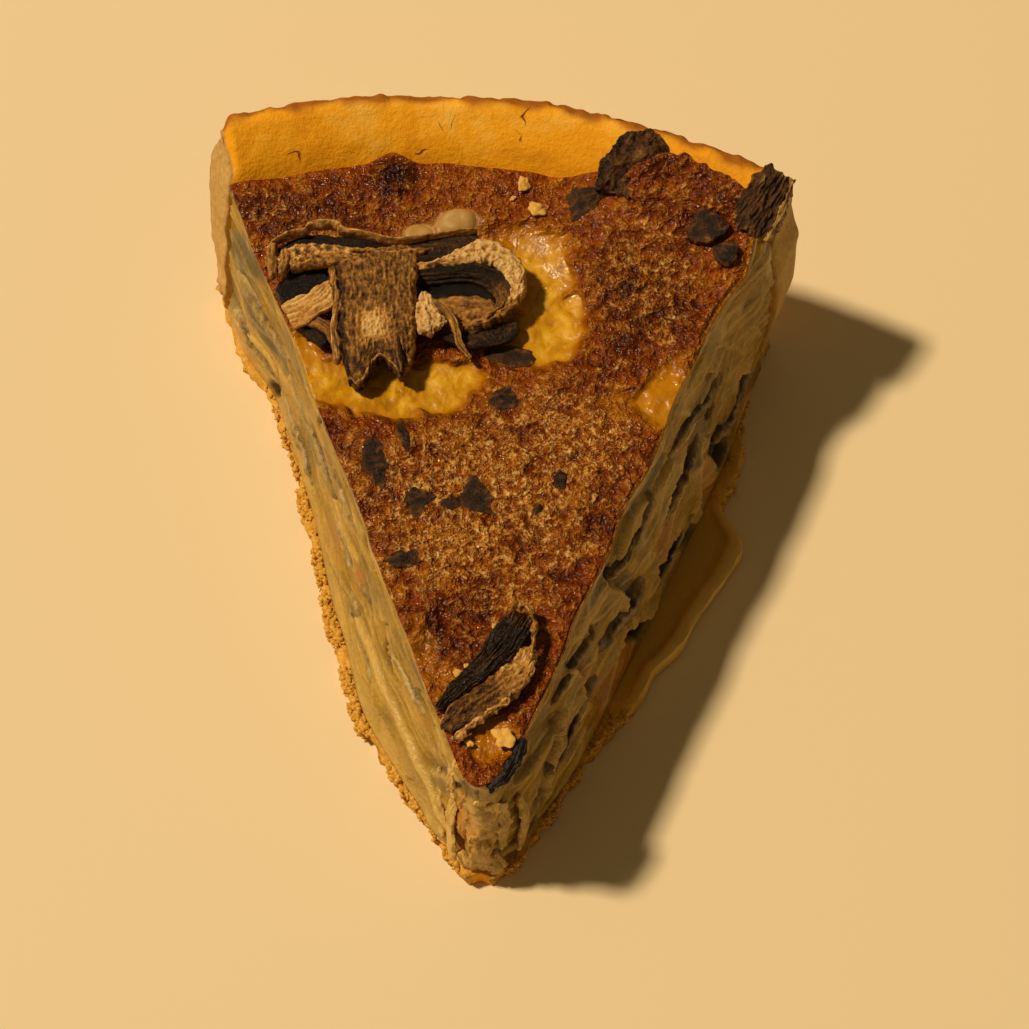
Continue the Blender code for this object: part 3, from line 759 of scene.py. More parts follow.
def measured(side, points):
    """A bent line as straight pieces: start, direction, length, and how far along the whole each begins."""
    pieces, gone = [], 0.0
    points = [Vector(p) for p in points]
    fine = [curve(points, i / 15) for i in range(16)]
    for a, b in zip(fine, fine[1:]):
        length = (b - a).length
        pieces.append((a.x, a.y, (b.x - a.x) / length, (b.y - a.y) / length, length, gone))
        gone += (b - a).length
    xs, ys = [p.x for p in fine], [p.y for p in fine]
    box = (min(xs) - FOLD_REACH, max(xs) + FOLD_REACH, min(ys) - FOLD_REACH, max(ys) + FOLD_REACH)
    return pieces, gone, box


def beside(pieces, s, z):
    """Distance from a bent line, positive on its left, and how far along it the nearest place lies."""
    best = (1e9, 0.0, 0.0)
    for x, y, dx, dy, length, gone in pieces:
        along = min(max((s - x) * dx + (z - y) * dy, 0.0), length)
        ax, ay = s - x - along * dx, z - y - along * dy
        away = ax * ax + ay * ay
        if away < best[0]:
            best = (away, gone + along, dx * ay - dy * ax)
    return math.copysign(math.sqrt(best[0]), best[2]), best[1]


def folds_at(folds, s, z):
    """Relief, gap darkness as painted shade and lip paleness, partly painted highlight, at a place on the
    cut.
    """
    relief = dark = pale = 0.0
    ragged = 0.22 * noise.noise(Vector((s / 2, z / 2, 3))) + 0.45 * noise.noise(Vector((s / 5, z / 5, 5)))
    for falls, drop, gap, lip, (pieces, length, box) in folds:
        if not (box[0] < s < box[1] and box[2] < z < box[3]):
            continue
        away, along = beside(pieces, s, z)
        away = (away + ragged) * falls
        ends = smooth(min(along, length - along) / 2.5)
        if away > 0:
            relief -= ends * drop * math.exp(-away / 2.6) * smooth(away / 0.7)
            # Painted shade: the gap on the side that drops away is darkened.
            dark = max(dark, ends * gap * math.exp(-away / 1.1) * smooth(away / 0.6))
            # The torn lip is pale custard, brightened further as a painted highlight.
            pale = max(pale, ends * lip * math.exp(-away / 0.4))
        else:
            relief += ends * drop * 0.4 * math.exp(away / 2.2)
            # The lip's paleness here is also partly painted highlight.
            pale = max(pale, ends * lip * math.exp(away / 0.8))
    return relief, dark, pale


def area(x, y, wide, deep, turn, strength, place, ragged=0.3):
    """Strength of a soft-edged, ragged patch at a place in plan."""
    dx, dy = place.x - x, place.y - y
    if abs(dx) > 1.7 * (wide + deep) or abs(dy) > 1.7 * (wide + deep):
        return 0.0
    c, s = math.cos(math.radians(turn)), math.sin(math.radians(turn))
    away = math.hypot((dx * c + dy * s) / wide, (dy * c - dx * s) / deep)
    away += ragged * wobble(place, 4.5, 21) + 0.5 * ragged * wobble(place, 1.8, 22)
    return strength * (1 - smooth((away - 0.5) / 0.8))


def patches(table, place, ragged=0.3):
    return max(area(*row, place, ragged) for row in table)


def side_patch(table, side, s, z):
    """Strength of a ragged patch on a cut."""
    best = 0.0
    for row_side, ps, pz, long, high, turn, strength in table:
        ds, dz = s - ps, z - pz
        if row_side != side or abs(ds) > 1.5 * (long + high) or abs(dz) > 1.5 * (long + high):
            continue
        c, n = math.cos(math.radians(turn)), math.sin(math.radians(turn))
        away = math.hypot((ds * c + dz * n) / long, (dz * c - ds * n) / high)
        away += 0.3 * noise.noise(Vector((s / 3.2, z / 2.2, 9 * side)))
        best = max(best, strength * (1 - smooth((away - 0.7) / 0.5)))
    return best


def top_height(u, v, flat):
    """Height of the browned top; flat is the point in plan."""
    z = lerp(NOSE_HEIGHT, FILL_HEIGHT, smooth(v * 1.2))
    climb = smooth((v - 0.86) / 0.13) * smooth((u - 0.15) / 0.45)
    z += climb * CLIMB_HEIGHT
    z += 0.9 * wobble(flat, 17, 5) + 0.7 * wobble(flat, 8, 6)
    z += BUMP_HEIGHT * (1 - smooth((flat - BUMP).length / 6))
    for x, y, wide, deep, seat in (TOP_SLICE_SEAT, NOSE_SLICE_SEAT):
        away = math.hypot((flat.x - x) / wide, (flat.y - y) / deep)
        z = lerp(min(z, seat - FLOOR_GAP), z, smooth((away - 1) / 0.3))
    return z


def custard_face(side, s, z):
    """How far the cut custard stands out from its cut: most at the foot, and level with the wall's end."""
    table = CUSTARD_LEFT if side < 0 else CUSTARD_RIGHT
    base = 0 if side < 0 else 0.9
    out = base + read(table, s) * max(1 - z / FILL_HEIGHT, 0) ** 0.9
    if side < 0:
        out += read(FOOT_SPREAD, s) * max(1 - z / 22, 0) ** 1.5
    wall = read(WALL_LEFT if side < 0 else WALL_RIGHT, z)
    return lerp(out, max(out, wall - 0.5), smooth((s - 112) / 18))


def custard_point(u, v, w):
    """u runs across the slice, v from the nose to the wall and w from the base to the browned top."""
    across = 1.2 * u - 0.2 * u**3
    angle = lerp(CUT_LEFT, CUT_RIGHT, (across + 1) / 2)
    v, w = (v + 1) / 2, (w + 1) / 2
    guess = heading(angle) * lerp(NOSE_SETBACK, reach(angle, INNER_FILL_RADIUS), v)
    low = BASE_THICKNESS + FLOOR_GAP
    z = lerp(low, top_height(across, v, guess), w)
    first = lerp(1.4, NOSE_SETBACK, smooth(w * 1.1)) + 2.2 * abs(u) ** 2.5 * smooth(w * 2)
    r = lerp(first, reach(angle, inner_radius(z) - WALL_GAP), v)
    point = heading(angle) * r + Vector((0, 0, z))
    side = -1 if u < 0 else 1
    edge = abs(u) ** 4
    folds = wobble(Vector((r * 0.3, side * 9, z)), 4.5, 7)
    folds += 0.6 * wobble(Vector((r * 0.5, side * 5, z)), 2.6, 8)
    within = smooth((z - low) / 3) * smooth((r - 2) / 8)
    share = 0.35 if side < 0 else 0.6
    spread = custard_face(side, r, z) * lerp(0.45, 1, smooth(v * 12))
    return point + outward(side) * edge * (spread + share * FOLD_DEPTH * folds * within), r


def surface(x, y):
    """Height of the custard's top over a point in plan."""
    angle = math.atan2(x, y)
    across = 2 * (angle - CUT_LEFT) / (CUT_RIGHT - CUT_LEFT) - 1
    v = (math.hypot(x, y) - NOSE_SETBACK) / (reach(angle, INNER_FILL_RADIUS) - NOSE_SETBACK)
    return top_height(across, v, Vector((x, y, 0)))


def make_custard():
    bm = block(FINE_CUSTARD, hidden=(-UP, AWAY))
    names = ("skin", "tan", "burnt", "yellow", "cream", "pale", "grey", "amber", "dark")
    skin, tan, burnt, yellow, cream, pale, grey, amber, dark = (layer(bm, name) for name in names)
    folds = {-1: [], 1: []}
    for side, falls, drop, gap, lip, points in FOLDS:
        folds[side].append((falls, drop, gap, lip, measured(side, points)))
    for vert in bm.verts:
        u, v, w = vert.co
        point, r = custard_point(u, v, w)
        side = -1 if u < 0 else 1
        flat = Vector((point.x, point.y, 0))
        top = smooth((w - 0.955) / 0.03)
        sides = smooth((abs(u) - 0.93) / 0.06)
        if w > 0.93:
            vert[tan] = patches(TAN_AREAS, flat)
            vert[burnt] = patches(BURNT_AREAS, flat)
            vert[yellow] = patches(YELLOW_AREAS, flat, 0.35)
            vert[yellow] = max(vert[yellow], 0.4 * smooth((u - 0.95) / 0.04) * (0.7 + wobble(flat, 9, 23)))
            wrinkle = 1 - abs(noise.noise(Vector((flat.x / 5, flat.y / 3, 4)))) * 2
            wrinkle += 0.5 - abs(noise.noise(Vector((flat.x / 2.2, flat.y / 1.7, 8))))
            rise = 0.6 * (wrinkle - 0.8) * lerp(0.35, 1, vert[burnt])
            rise += (0.14 + 0.14 * vert[tan]) * wobble(flat, 1.3, 24)
            rise -= 0.35 * vert[yellow]
            for row in CREAM_DOMES:
                dome = area(*row[:5], 1.0, flat, 0.1)
                rise += row[5] * dome
                vert[cream] = max(vert[cream], dome)
            point.z += rise * top
        nose = smooth((-v - 0.97) / 0.03)
        if sides > 0 or nose > 0:
            z = point.z
            bend = 1.3 * wobble(Vector((r / 9, z / 6, 3 * side)), 1, 25)
            line = wobble(Vector((r / 17, (z + bend) / 3.4, 7 * side)), 1, 26)
            thin = wobble(Vector((r / 7, (z + bend) / 1.3, 5 * side)), 1, 27)
            ridge = max(1 - abs(line) * 4.5, 0) ** 2
            hollow = side_patch(HOLLOWS, side, r, z)
            vert[grey] = side_patch(GREYS, side, r, z)
            vert[amber] = side_patch(AMBERS, side, r, z)
            fold, gap, lip = folds_at(folds[side], r, z)
            strength = 0.42 if side < 0 else 0.55
            relief = strength * (0.8 * ridge - 0.4 + 0.9 * line + 0.3 * thin) + fold
            relief -= hollow * (1.2 if side < 0 else 2.6)
            limit = smooth((z - 5) / 2) * (1 - smooth((w - 0.86) / 0.14))
            point += outward(side) * relief * limit * sides
            if nose > 0:
                lump = wobble(point, 4, 28) + 0.6 * wobble(point, 2, 29)
                point.y += nose * limit * lump * 1.3
            # Painted shade: darkened in the fold gaps and inside the hollows.
            vert[dark] = clamp(0.85 * gap + hollow) * smooth((z - 5) / 1)
            # Paler along the ridges: partly pale custard, partly painted highlight.
            ridge_pale_and_highlight = (0.4 if side < 0 else 0.6) * ridge
            foot = 0.4 * (1 - smooth((z - 6) / 7)) if side < 0 else 0.0
            upper_edge = 0.8 * smooth((w - 0.92) / 0.03)
            vert[pale] = clamp(max(lip, ridge_pale_and_highlight, foot, 0.35 * nose) + upper_edge) * (1 - hollow)
        vert[skin] = top
        vert.co = point
    dress(bm, "set_custard", CUSTARD, ["custard_filling"])


# Mushroom: soft slabs bent along smooth curves.


def curve(points, t):
    """The smooth curve through the points, at t from 0 to 1."""
    last = len(points) - 1
    i = min(int(max(t, 0.0) * last), last - 1)
    f = t * last - i
    a, b, c, d = points[max(i - 1, 0)], points[i], points[i + 1], points[min(i + 2, last)]
    return (2 * b + (c - a) * f + (2 * a - 5 * b + 4 * c - d) * f**2 + (3 * b - a - 3 * c + d) * f**3) / 2


def even(values, t):
    """The value at t from 0 to 1 in a list of evenly spaced values."""
    place = clamp(t) * (len(values) - 1)
    i = min(int(place), len(values) - 2)
    return lerp(values[i], values[i + 1], smooth(place - i))


def strip(
    path, widths, thickness, tone=0.5, fibre=(4.0, 0.9), relief=0.3, contrast=0.35, facing=UP, hub=None,
    steps=(60, 12, 5), ruffle=0.4, end=0.5, fork=None, wet=0.0, shade=None, seed=0.0, torn=0.35, soft=1.0,
):
    """A soft slab along path. fibre is the length and breadth of its grain, in mm; relief its height.

    hub leans the slab's face towards a point; fork lists how far each part of its far end reaches; torn
    is how ragged its edges are and soft how round; shade(t, v, w) returns a change of tone.
    """
    path = [Vector(p) for p in path]
    bm = block(steps_of(*steps))
    tone_layer, wet_layer = layer(bm, "tone"), layer(bm, "wet")
    length = sum((b - a).length for a, b in zip(path, path[1:]))
    for vert in bm.verts:
        u, v, w = vert.co
        t = (u + 1) / 2
        centre = curve(path, t)
        tangent = (curve(path, min(t + 0.02, 1)) - curve(path, max(t - 0.02, 0))).normalized()
        face = UP + (Vector(hub) - centre).normalized() * 0.9 if hub else facing
        level = tangent.cross(face).normalized()
        normal = level.cross(tangent)
        narrow = lerp(end, 1, math.sqrt(max(1 - abs(u) ** 6, 0)))
        a = v * lerp(1, math.sqrt(1 - 0.5 * w * w), soft) * narrow * even(widths, t) / 2
        b = w * lerp(1 - 0.5 * v**6, math.sqrt(1 - v * v / 2), soft) * narrow * thickness / 2
        along = t * length
        edge = noise.noise(Vector((along / 3.2, 3 * (v > 0), seed)))
        edge += 0.3 * noise.noise(Vector((along / 0.9, 3 * (v > 0), seed)))
        a += math.copysign(1.6 * torn * edge * abs(v) ** 3, v)
        lift = ruffle * wobble(centre + level * a, 5, 11)
        grain = noise.noise(Vector((along / fibre[0], a / fibre[1], seed + w)))
        grain += 0.6 * noise.noise(Vector((along / fibre[0] * 2.7, a / fibre[1] * 2.3, seed + 9 + w)))
        ragged = 0.6 * torn * wobble(centre + level * a + normal * b, 1.6, seed + 13)
        vert.co = centre + level * (a + ragged * abs(v)) + normal * (b + lift + relief * grain)
        vert.co += tangent * abs(u) ** 8 * torn * 2 * noise.noise(Vector((a / 1.6, u, seed)))
        if fork:
            vert.co += tangent * even(fork, (v + 1) / 2) * smooth((u - 0.3) / 0.7)
        change = shade(t, v, w) if shade else 0.0
        vert[tone_layer] = clamp(tone + contrast * grain + change)
        vert[wet_layer] = wet
    face_outward(bm)
    return bm


def bundle(name, strips, finish, node):
    """Several strips as one piece."""
    whole = strips[0]
    for other in strips[1:]:
        merge(whole, other)
    dress(whole, name, finish, [node])


def stem_shade(t, v, w):
    fuzz = 0.42 * smooth(1.3 - abs(t - 0.66) / 0.13) * smooth(1.4 - abs(v - 0.1) / 0.45)
    roots = -0.1 * smooth((t - 0.78) / 0.1)
    rind = 0.4 * smooth(1 - abs(t - 0.955) / 0.015)
    top = 0.35 * (1 - smooth(t / 0.05))
    return fuzz + roots + rind + top - 0.25 * smooth((v - 0.9) / 0.08) + 0.12 * smooth((-v - 0.8) / 0.15)


def ring_shade(t, v, w):
    return -0.36 * smooth((t - 0.56) / 0.16) + 0.08 * w - 0.2 * (1 - smooth(t / 0.2))


def band_shade(t, v, w):
    return 0.16 * smooth((t - 0.5) / 0.2) + 0.1 * smooth((abs(v) - 0.8) / 0.15)


def make_top_slice():
    hub = (-6.5, 104.5, 40)
    parts = [
        # Cap: a thin pale rim, a painted-shade gap that widens to a brown band, crumbly flesh, a second ridge
        # and gap.
        strip(
            ((-45.6, 115.0, 43.2), (-42.6, 116.6, 44.2), (-39.4, 117.3, 44.4), (-37.8, 118.7, 44.6),
             (-33.2, 119.0, 44.6), (-31.8, 117.8, 44.5), (-26, 116.6, 44.2), (-21, 115.9, 44.1),
             (-16.5, 116.7, 44), (-11, 118.1, 43.8), (-5.4, 119.3, 43.5)),
            (0.5, 0.5, 0.5, 0.9, 1.3, 0.9, 0.7, 0.6, 0.5, 0.4, 0.35), 3.0, 0.74, (2.0, 0.5), 0.12,
            steps=(170, 8, 6), seed=1, soft=0.5, torn=0.3,
        ),
        # Dark strip: painted shade in the gap under the rim, lightening along its length into the real brown
        # band.
        strip(
            ((-45, 112.6, 41.0), (-38.5, 115.6, 41.6), (-31, 115.5, 41.7), (-22.5, 114.7, 41.8),
             (-13.5, 115.4, 42.0), (-5.0, 117.4, 42.1)),
            (4.4, 4.8, 4.4, 4.2, 5.6, 4.4), 3.2, 0.08, (5, 0.55), 0.28, contrast=0.14,
            steps=(110, 20, 4), seed=2, wet=0.15, shade=band_shade, soft=0.15, torn=0.3, end=0.85,
        ),
        strip(
            ((-44.4, 110.6, 42.0), (-40, 112.6, 42.8), (-34.5, 112.9, 43.0), (-28, 112.0, 42.9)),
            (3.2, 4.8, 4.2, 2.2), 3.0, 0.66, (1.0, 0.9), 0.6, 0.5, steps=(90, 30, 5), seed=3, soft=0.4,
            torn=0.6,
        ),
        strip(
            ((-45.5, 115, 42.6), (-45.4, 111.4, 42.8), (-44.8, 107.6, 42.2)), (1.9, 2.1, 1.6), 3.4,
            0.6, (3, 0.5), 0.2, steps=(36, 10, 5), seed=4, soft=0.6,
        ),
        strip(
            ((-43.0, 113.6, 42.6), (-42.5, 111, 42.8), (-43.1, 108.2, 42.2)), (1.4, 1.8, 1.2), 3.4,
            0.66, (3, 0.5), 0.2, steps=(36, 10, 5), seed=5, soft=0.6,
        ),
        strip(
            ((-41.5, 109.6, 42.2), (-37, 110.6, 42.9), (-32.5, 111.2, 43.4), (-28, 110.4, 43.7),
             (-22, 109.8, 43.9)),
            (0.8, 1.2, 1.8, 1.6, 0.8), 3,
            0.6, (1.6, 0.6), 0.35, steps=(90, 10, 5), seed=6, soft=0.6, torn=0.6,
        ),
        strip(
            ((-33.5, 114.6, 43.3), (-30.7, 113.7, 43.6), (-26, 113.2, 43.8), (-21.6, 112.9, 43.9),
             (-18, 113.6, 43.8),
             (-13.8, 114.5, 43.4)),
            (0.3, 0.6, 0.9, 0.7, 0.8, 0.3), 2.2, 0.66, (1.6, 0.6), 0.3, steps=(120, 8, 5), seed=7, soft=0.6,
            torn=0.6,
        ),
        # Dark strip: painted shade in the second gap.
        strip(
            ((-29, 112.1, 42.7), (-24.6, 111.5, 42.7), (-18.6, 111.6, 42.7), (-11.5, 112.8, 42.2)),
            (0.8, 1.3, 1.5, 1.0), 2.4, 0.06, (4, 0.8), 0.1, 0.06, steps=(50, 6, 4), seed=8,
        ),
        # Left lobe: a near-black strip that is painted shade in its hollow, and a folded web of pale tissue.
        # Near-black strip: painted shade in the lobe's hollow.
        strip(
            ((-43.6, 104.6, 39.8), (-39.5, 107.6, 40.0), (-34.6, 110, 40.2)), (3.6, 7.0, 6.5), 2.4,
            0.03, (2.2, 0.9), 0.5, 0.1, steps=(44, 18, 4), wet=0.6, seed=9, soft=0.3, end=0.8,
        ),
        strip(
            ((-41.4, 99.4, 40.8), (-38.6, 100.8, 41.6), (-35.4, 102.6, 42.2), (-33.0, 106.4, 42.5)),
            (7.4, 7.4, 5.8, 2.6), 1.8, 0.82, (7, 0.8), 0.5, 0.3, facing=Vector((0.1, 0.35, 1)),
            steps=(70, 34, 5), seed=10, soft=0.2, end=0.85, ruffle=1.0,
        ),
        strip(
            ((-37.8, 98.2, 40.8), (-35.0, 97.6, 41.6), (-32.6, 95.4, 41.8), (-31.2, 91.6, 41.2)),
            (1.6, 2.2, 2.4, 1.4), 2.2, 0.44, (6, 0.6), 0.4, 0.35, steps=(50, 12, 4), seed=22, soft=0.5,
        ),
        strip(
            ((-33.4, 109.6, 42.8), (-32.5, 105.5, 43.4), (-31.6, 100.4, 43.4), (-31.8, 94.5, 42.4),
             (-30.6, 88.5, 41.6)),
            (0.8, 1.3, 1.3, 1.6, 1.6), 3.2, 0.58, (3, 0.4), 0.25, 0.5, steps=(100, 10, 5), seed=11, soft=0.5,
            torn=0.5,
        ),
        strip(
            ((-40.8, 99.4, 39.6), (-37, 97.2, 39.8), (-33.4, 94, 39.6)), (1.6, 2.6, 2.6), 2.4,
            0.16, (3, 0.8), 0.25, 0.15, steps=(36, 8, 4), seed=12,
        ),
        # Stem: crinkled upright fibres, a fuzzy pale patch and a dark notched end.
        strip(
            ((-25.4, 114.0, 41.6), (-24.8, 110.5, 43.0), (-24.0, 103.8, 43.4), (-23.6, 97.4, 43.0),
             (-23.1, 92.0, 41.9), (-22.8, 87.4, 40.5)),
            (16.4, 15.8, 14.8, 14.4, 14.0, 12.0), 4.6, 0.5, (1.3, 0.6), 0.42, 0.34,
            steps=(130, 76, 4), end=0.9, fork=(0.6, 1.2, 0.4, -0.8, -1.8, -2.4, -1.4, 0.6, 2.6, 3.6, 2.0),
            shade=stem_shade, seed=13, ruffle=0.9, soft=0.3, torn=0.5,
        ),
        strip(
            ((-19.6, 93.8, 43.2), (-19.2, 90.2, 43.4), (-18.4, 86.2, 42.4)), (1.0, 1.5, 1.1), 2.6,
            0.34, (5, 0.4), 0.15, steps=(30, 8, 4), seed=23,
        ),
        # Right ring: crumbly flesh outside, a slope of dark gills, a hollow painted black as shade round a
        # wet floor.
        strip(
            ((-17, 110.6, 42.8), (-12.5, 111.2, 43.2), (-8.5, 112.8, 43.4), (-5, 114.2, 43.4),
             (-1.4, 113.9, 43.2),
             (1.6, 111.2, 42.8), (2.9, 107.4, 42.4), (2.3, 104.0, 41.8), (0.4, 101, 41.4), (-2.2, 98.8, 41.2),
             (-5.4, 97.7, 41.0), (-8.2, 97.6, 40.6)),
            (0.7, 1.2, 3.4, 5.4, 5.2, 4.4, 3.4, 2.4, 1.6, 1.0, 0.8, 0.7), 3.4, 0.86, (1.0, 0.9), 0.6, 0.36,
            steps=(170, 24, 5), shade=ring_shade, seed=14, torn=0.7, soft=0.6,
        ),
        strip(
            ((-17.4, 108.8, 41.8), (-12.4, 109.5, 42.0), (-7.9, 110.2, 42.1), (-3.4, 109.4, 42.1),
             (-0.3, 107, 42.0), (0.3, 103.8, 41.7), (-1.2, 101.2, 41.2)),
            (3.4, 3.8, 4.2, 4.4, 4.2, 3.0, 1.4), 1.8, 0.2, (8, 0.5), 0.32, 0.2, hub=hub,
            steps=(130, 24, 4), wet=0.5, seed=15, soft=0.2,
            shade=lambda t, v, w: 0.24 * smooth((t - 0.5) / 0.3) - 0.12 * smooth(-v),
        ),
        # Near-black strip: painted shade in the hollow round the floor.
        strip(
            ((-17, 106.2, 39.9), (-12.7, 106.6, 40.0), (-7.9, 107.6, 40.1), (-3.6, 106.4, 40.1),
             (-1.4, 104.2, 39.9)),
            (3.4, 3.4, 3.0, 2.8, 2.4), 2.0, 0.01, (1.6, 0.8), 0.45, 0.06, steps=(76, 12, 4), wet=0.9, seed=16,
        ),
        strip(
            ((-13.6, 102.4, 39.8), (-8.8, 102.7, 40.1), (-4.6, 102.5, 40.1), (-1, 102.8, 40)),
            (4.8, 6.8, 7.0, 4.6), 2.0, 0.6, (2.6, 1.4), 0.35, 0.25, steps=(60, 26, 4), wet=1.0, seed=17,
            soft=0.4,
        ),
        strip(
            ((1.6, 106.4, 42.6), (0.9, 103.6, 42.4), (-0.9, 101.2, 42.3), (-3.6, 99.2, 42.0),
             (-6.6, 98.4, 41.6), (-9.2, 98.8, 41)),
            (0.4, 0.5, 0.6, 0.5, 0.5, 0.3), 1.6, 0.62, (3, 0.6), 0.1, steps=(80, 5, 4), seed=18,
        ),
        strip(
            ((-15.2, 105.0, 42.0), (-14.8, 101.8, 42.6), (-14.0, 98.8, 42.6), (-12.6, 96.4, 41.8)),
            (1.0, 3.6, 5.6, 6.2), 2.6, 0.95, (1.6, 0.8), 0.6, 0.3, steps=(60, 32, 5), seed=19, soft=0.2,
            torn=0.8,
        ),
        strip(
            ((-13.4, 103.2, 42.6), (-11.0, 100.6, 43.4), (-8.9, 97.4, 43.4), (-7.6, 93.6, 41.4),
             (-5.4, 91.4, 40.2)),
            (0.8, 1.3, 1.5, 1.3, 0.4), 1.4, 0.6, (6, 0.4), 0.2, 0.45, steps=(80, 10, 4), seed=20, soft=0.5,
        ),
        # Dark brown strip under the ring: partly red-brown custard, partly painted shade beneath the ring.
        strip(
            ((-11, 96.4, 39.6), (-5, 95.8, 39.9), (0, 97.0, 39.9), (3.4, 99.8, 39.7)), (1.4, 3.4, 3.8, 2.4),
            2.0,
            0.2, (4, 0.9), 0.3, 0.16, steps=(50, 12, 4), wet=0.6, seed=21, soft=0.4,
        ),
    ]
    bundle("dried_mushroom_slice", parts, DRIED, "mushroom_slice_top")


def gill_shade(t, v, w):
    return 0.14 * smooth((t - 0.8) / 0.1) + 0.1 * smooth((abs(v) - 0.88) / 0.1)


def flesh_shade(t, v, w):
    return 0.3 * smooth((t - 0.45) / 0.3) - 0.08 * smooth((0.4 - t) / 0.2) + 0.25 * smooth((-v - 0.8) / 0.15)


def make_nose_slice():
    parts = [
        strip(
            ((-8.2, 18.4, 37.2), (-4.4, 22.2, 37.9), (-0.6, 26, 38.3), (2.3, 29.8, 38.6), (4.8, 33.6, 38.8),
             (6.4, 37.2, 38.5)),
            (1.4, 3.6, 4.8, 5.8, 6.2, 5.0), 2.6, 0.14, (7.0, 0.34), 0.5, 0.26,
            steps=(130, 60, 5), wet=0.9, shade=gill_shade, seed=31, soft=0.4, ruffle=1.0,
        ),
        strip(
            ((-6.4, 14.8, 36.8), (-3.2, 17.9, 37.1), (0.5, 20.6, 37.4), (3.8, 23.2, 37.7), (6.4, 26.6, 37.9),
             (8.0, 30.6, 37.9)),
            (3.4, 5.6, 6.2, 6.0, 5.0, 3.0), 2.2, 0.44, (2.0, 0.7), 0.4, 0.24,
            steps=(120, 44, 5), wet=0.8, seed=32, soft=0.2, ruffle=0.9, torn=0.6, shade=flesh_shade,
        ),
        strip(
            ((4.6, 39.1, 38.9), (7.1, 38.4, 39.2), (8.6, 35.2, 39.3), (8.7, 31.4, 39.0), (8.3, 27.6, 38.5)),
            (0.5, 0.7, 0.5, 0.6, 0.4), 1.6, 0.6, (1.2, 0.5), 0.3, 0.5, steps=(90, 6, 4), seed=33, torn=0.9,
        ),
        strip(
            ((-5.2, 12.6, 37.2), (-2.2, 15.0, 37.8), (1, 17.4, 38.0), (3.8, 19.7, 38.1), (5.4, 22.2, 38.1)),
            (0.4, 0.9, 0.4, 0.7, 0.3), 1.2, 0.74, (1.2, 0.5), 0.3, 0.5, steps=(90, 6, 4), seed=34, torn=1.1,
        ),
    ]
    bundle("gilled_mushroom_slice", parts, DRIED, "mushroom_slice_nose")


def make_rim_slice():
    parts = [
        strip(
            ((23.5, 129.0, 43.0), (24.6, 132.6, 45.0), (27.0, 137.2, 47.2), (29.2, 141.6, 47.9)),
            (11, 13.0, 11.0, 5), 2.4,
            0.5, (2.6, 1.5), 0.6, 0.3, facing=Vector((0.1, -0.4, 1)), steps=(90, 60, 4), ruffle=1.6, end=0.5,
            seed=41,
            torn=1.0, soft=0.3, wet=0.8, shade=lambda t, v, w: -0.2 * smooth((abs(v) - 0.75) / 0.2),
        ),
        strip(
            ((18.8, 130.5, 43.2), (20.6, 132.6, 44.6), (23.5, 134.2, 46.0)), (2.6, 3.4, 2.6), 1.8,
            0.2, (2.4, 1.0), 0.5, 0.2, steps=(36, 18, 4), ruffle=0.8, seed=46, torn=0.7, soft=0.4, wet=0.5,
        ),
    ]
    bundle("rim_mushroom_slice", parts, BROWNED, "mushroom_slice_rim")


def make_baked_over_fold():
    """Browned custard that baked over the rim beside the mushroom, as one thin sheet."""
    part = strip(
        ((24.5, 129.6, 44.4), (32, 131.6, 45.7), (40, 128.2, 45.6), (48.5, 123.6, 44.9)), (8, 10.5, 10, 9),
        2.4,
        facing=Vector((0.1, -0.75, 1)), steps=(120, 48, 4), ruffle=1.2, seed=42,
        torn=0.8, soft=0.2, relief=0.35,
        fibre=(2.4, 1.3), end=0.6,
    )
    for name, value in (("skin", 1.0), ("tan", 0.15), ("burnt", 0.3)):
        held = layer(part, name)
        for vert in part.verts:
            vert[held] = value
    dress(part, "baked_over_fold", CUSTARD, ["mushroom_slice_rim"])


def make_corner_slice():
    face = outward(1) * 0.5 + UP
    parts = [
        strip(
            (on_cut(1, 129.5, 0.0, 43.4), on_cut(1, 136, 1.0, 45.8), on_cut(1, 143.8, 1.6, 47.6)),
            (5, 9.5, 6.5), 2.0,
            0.46, (3.2, 0.7), 0.5, 0.4, facing=face, steps=(80, 50, 4), ruffle=1.0, torn=0.8, soft=0.3,
            seed=43, wet=0.5,
        ),
        strip(
            (on_cut(1, 130, 3.9, 42.6), on_cut(1, 136, 4.9, 44.8), on_cut(1, 143.5, 4.3, 46.8)),
            (0.6, 1.2, 0.8), 1.6,
            0.8, (3.0, 0.4), 0.3, 0.5, facing=face, steps=(70, 8, 4), seed=44, torn=0.8, soft=0.5,
        ),
    ]
    bundle("corner_mushroom_slice", parts, BROWNED, "mushroom_slice_corner")


def make_nose_skin():
    part = strip(
        ((7.4, 13.8, 36.2), (6.2, 9.6, 35.9), (4.2, 6.4, 35.4), (1.6, 4.6, 34.6)), (1.4, 2.2, 2.0, 1.2), 1.6,
        0.28, (4.0, 0.6), 0.35, 0.3, facing=Vector((0.4, -0.2, 1)), steps=(60, 20, 5), wet=0.8, seed=45,
        ruffle=0.8,
        torn=0.6, soft=0.5,
    )
    bundle("black_mushroom_skin", [part], BLACK, "mushroom_skin_nose")


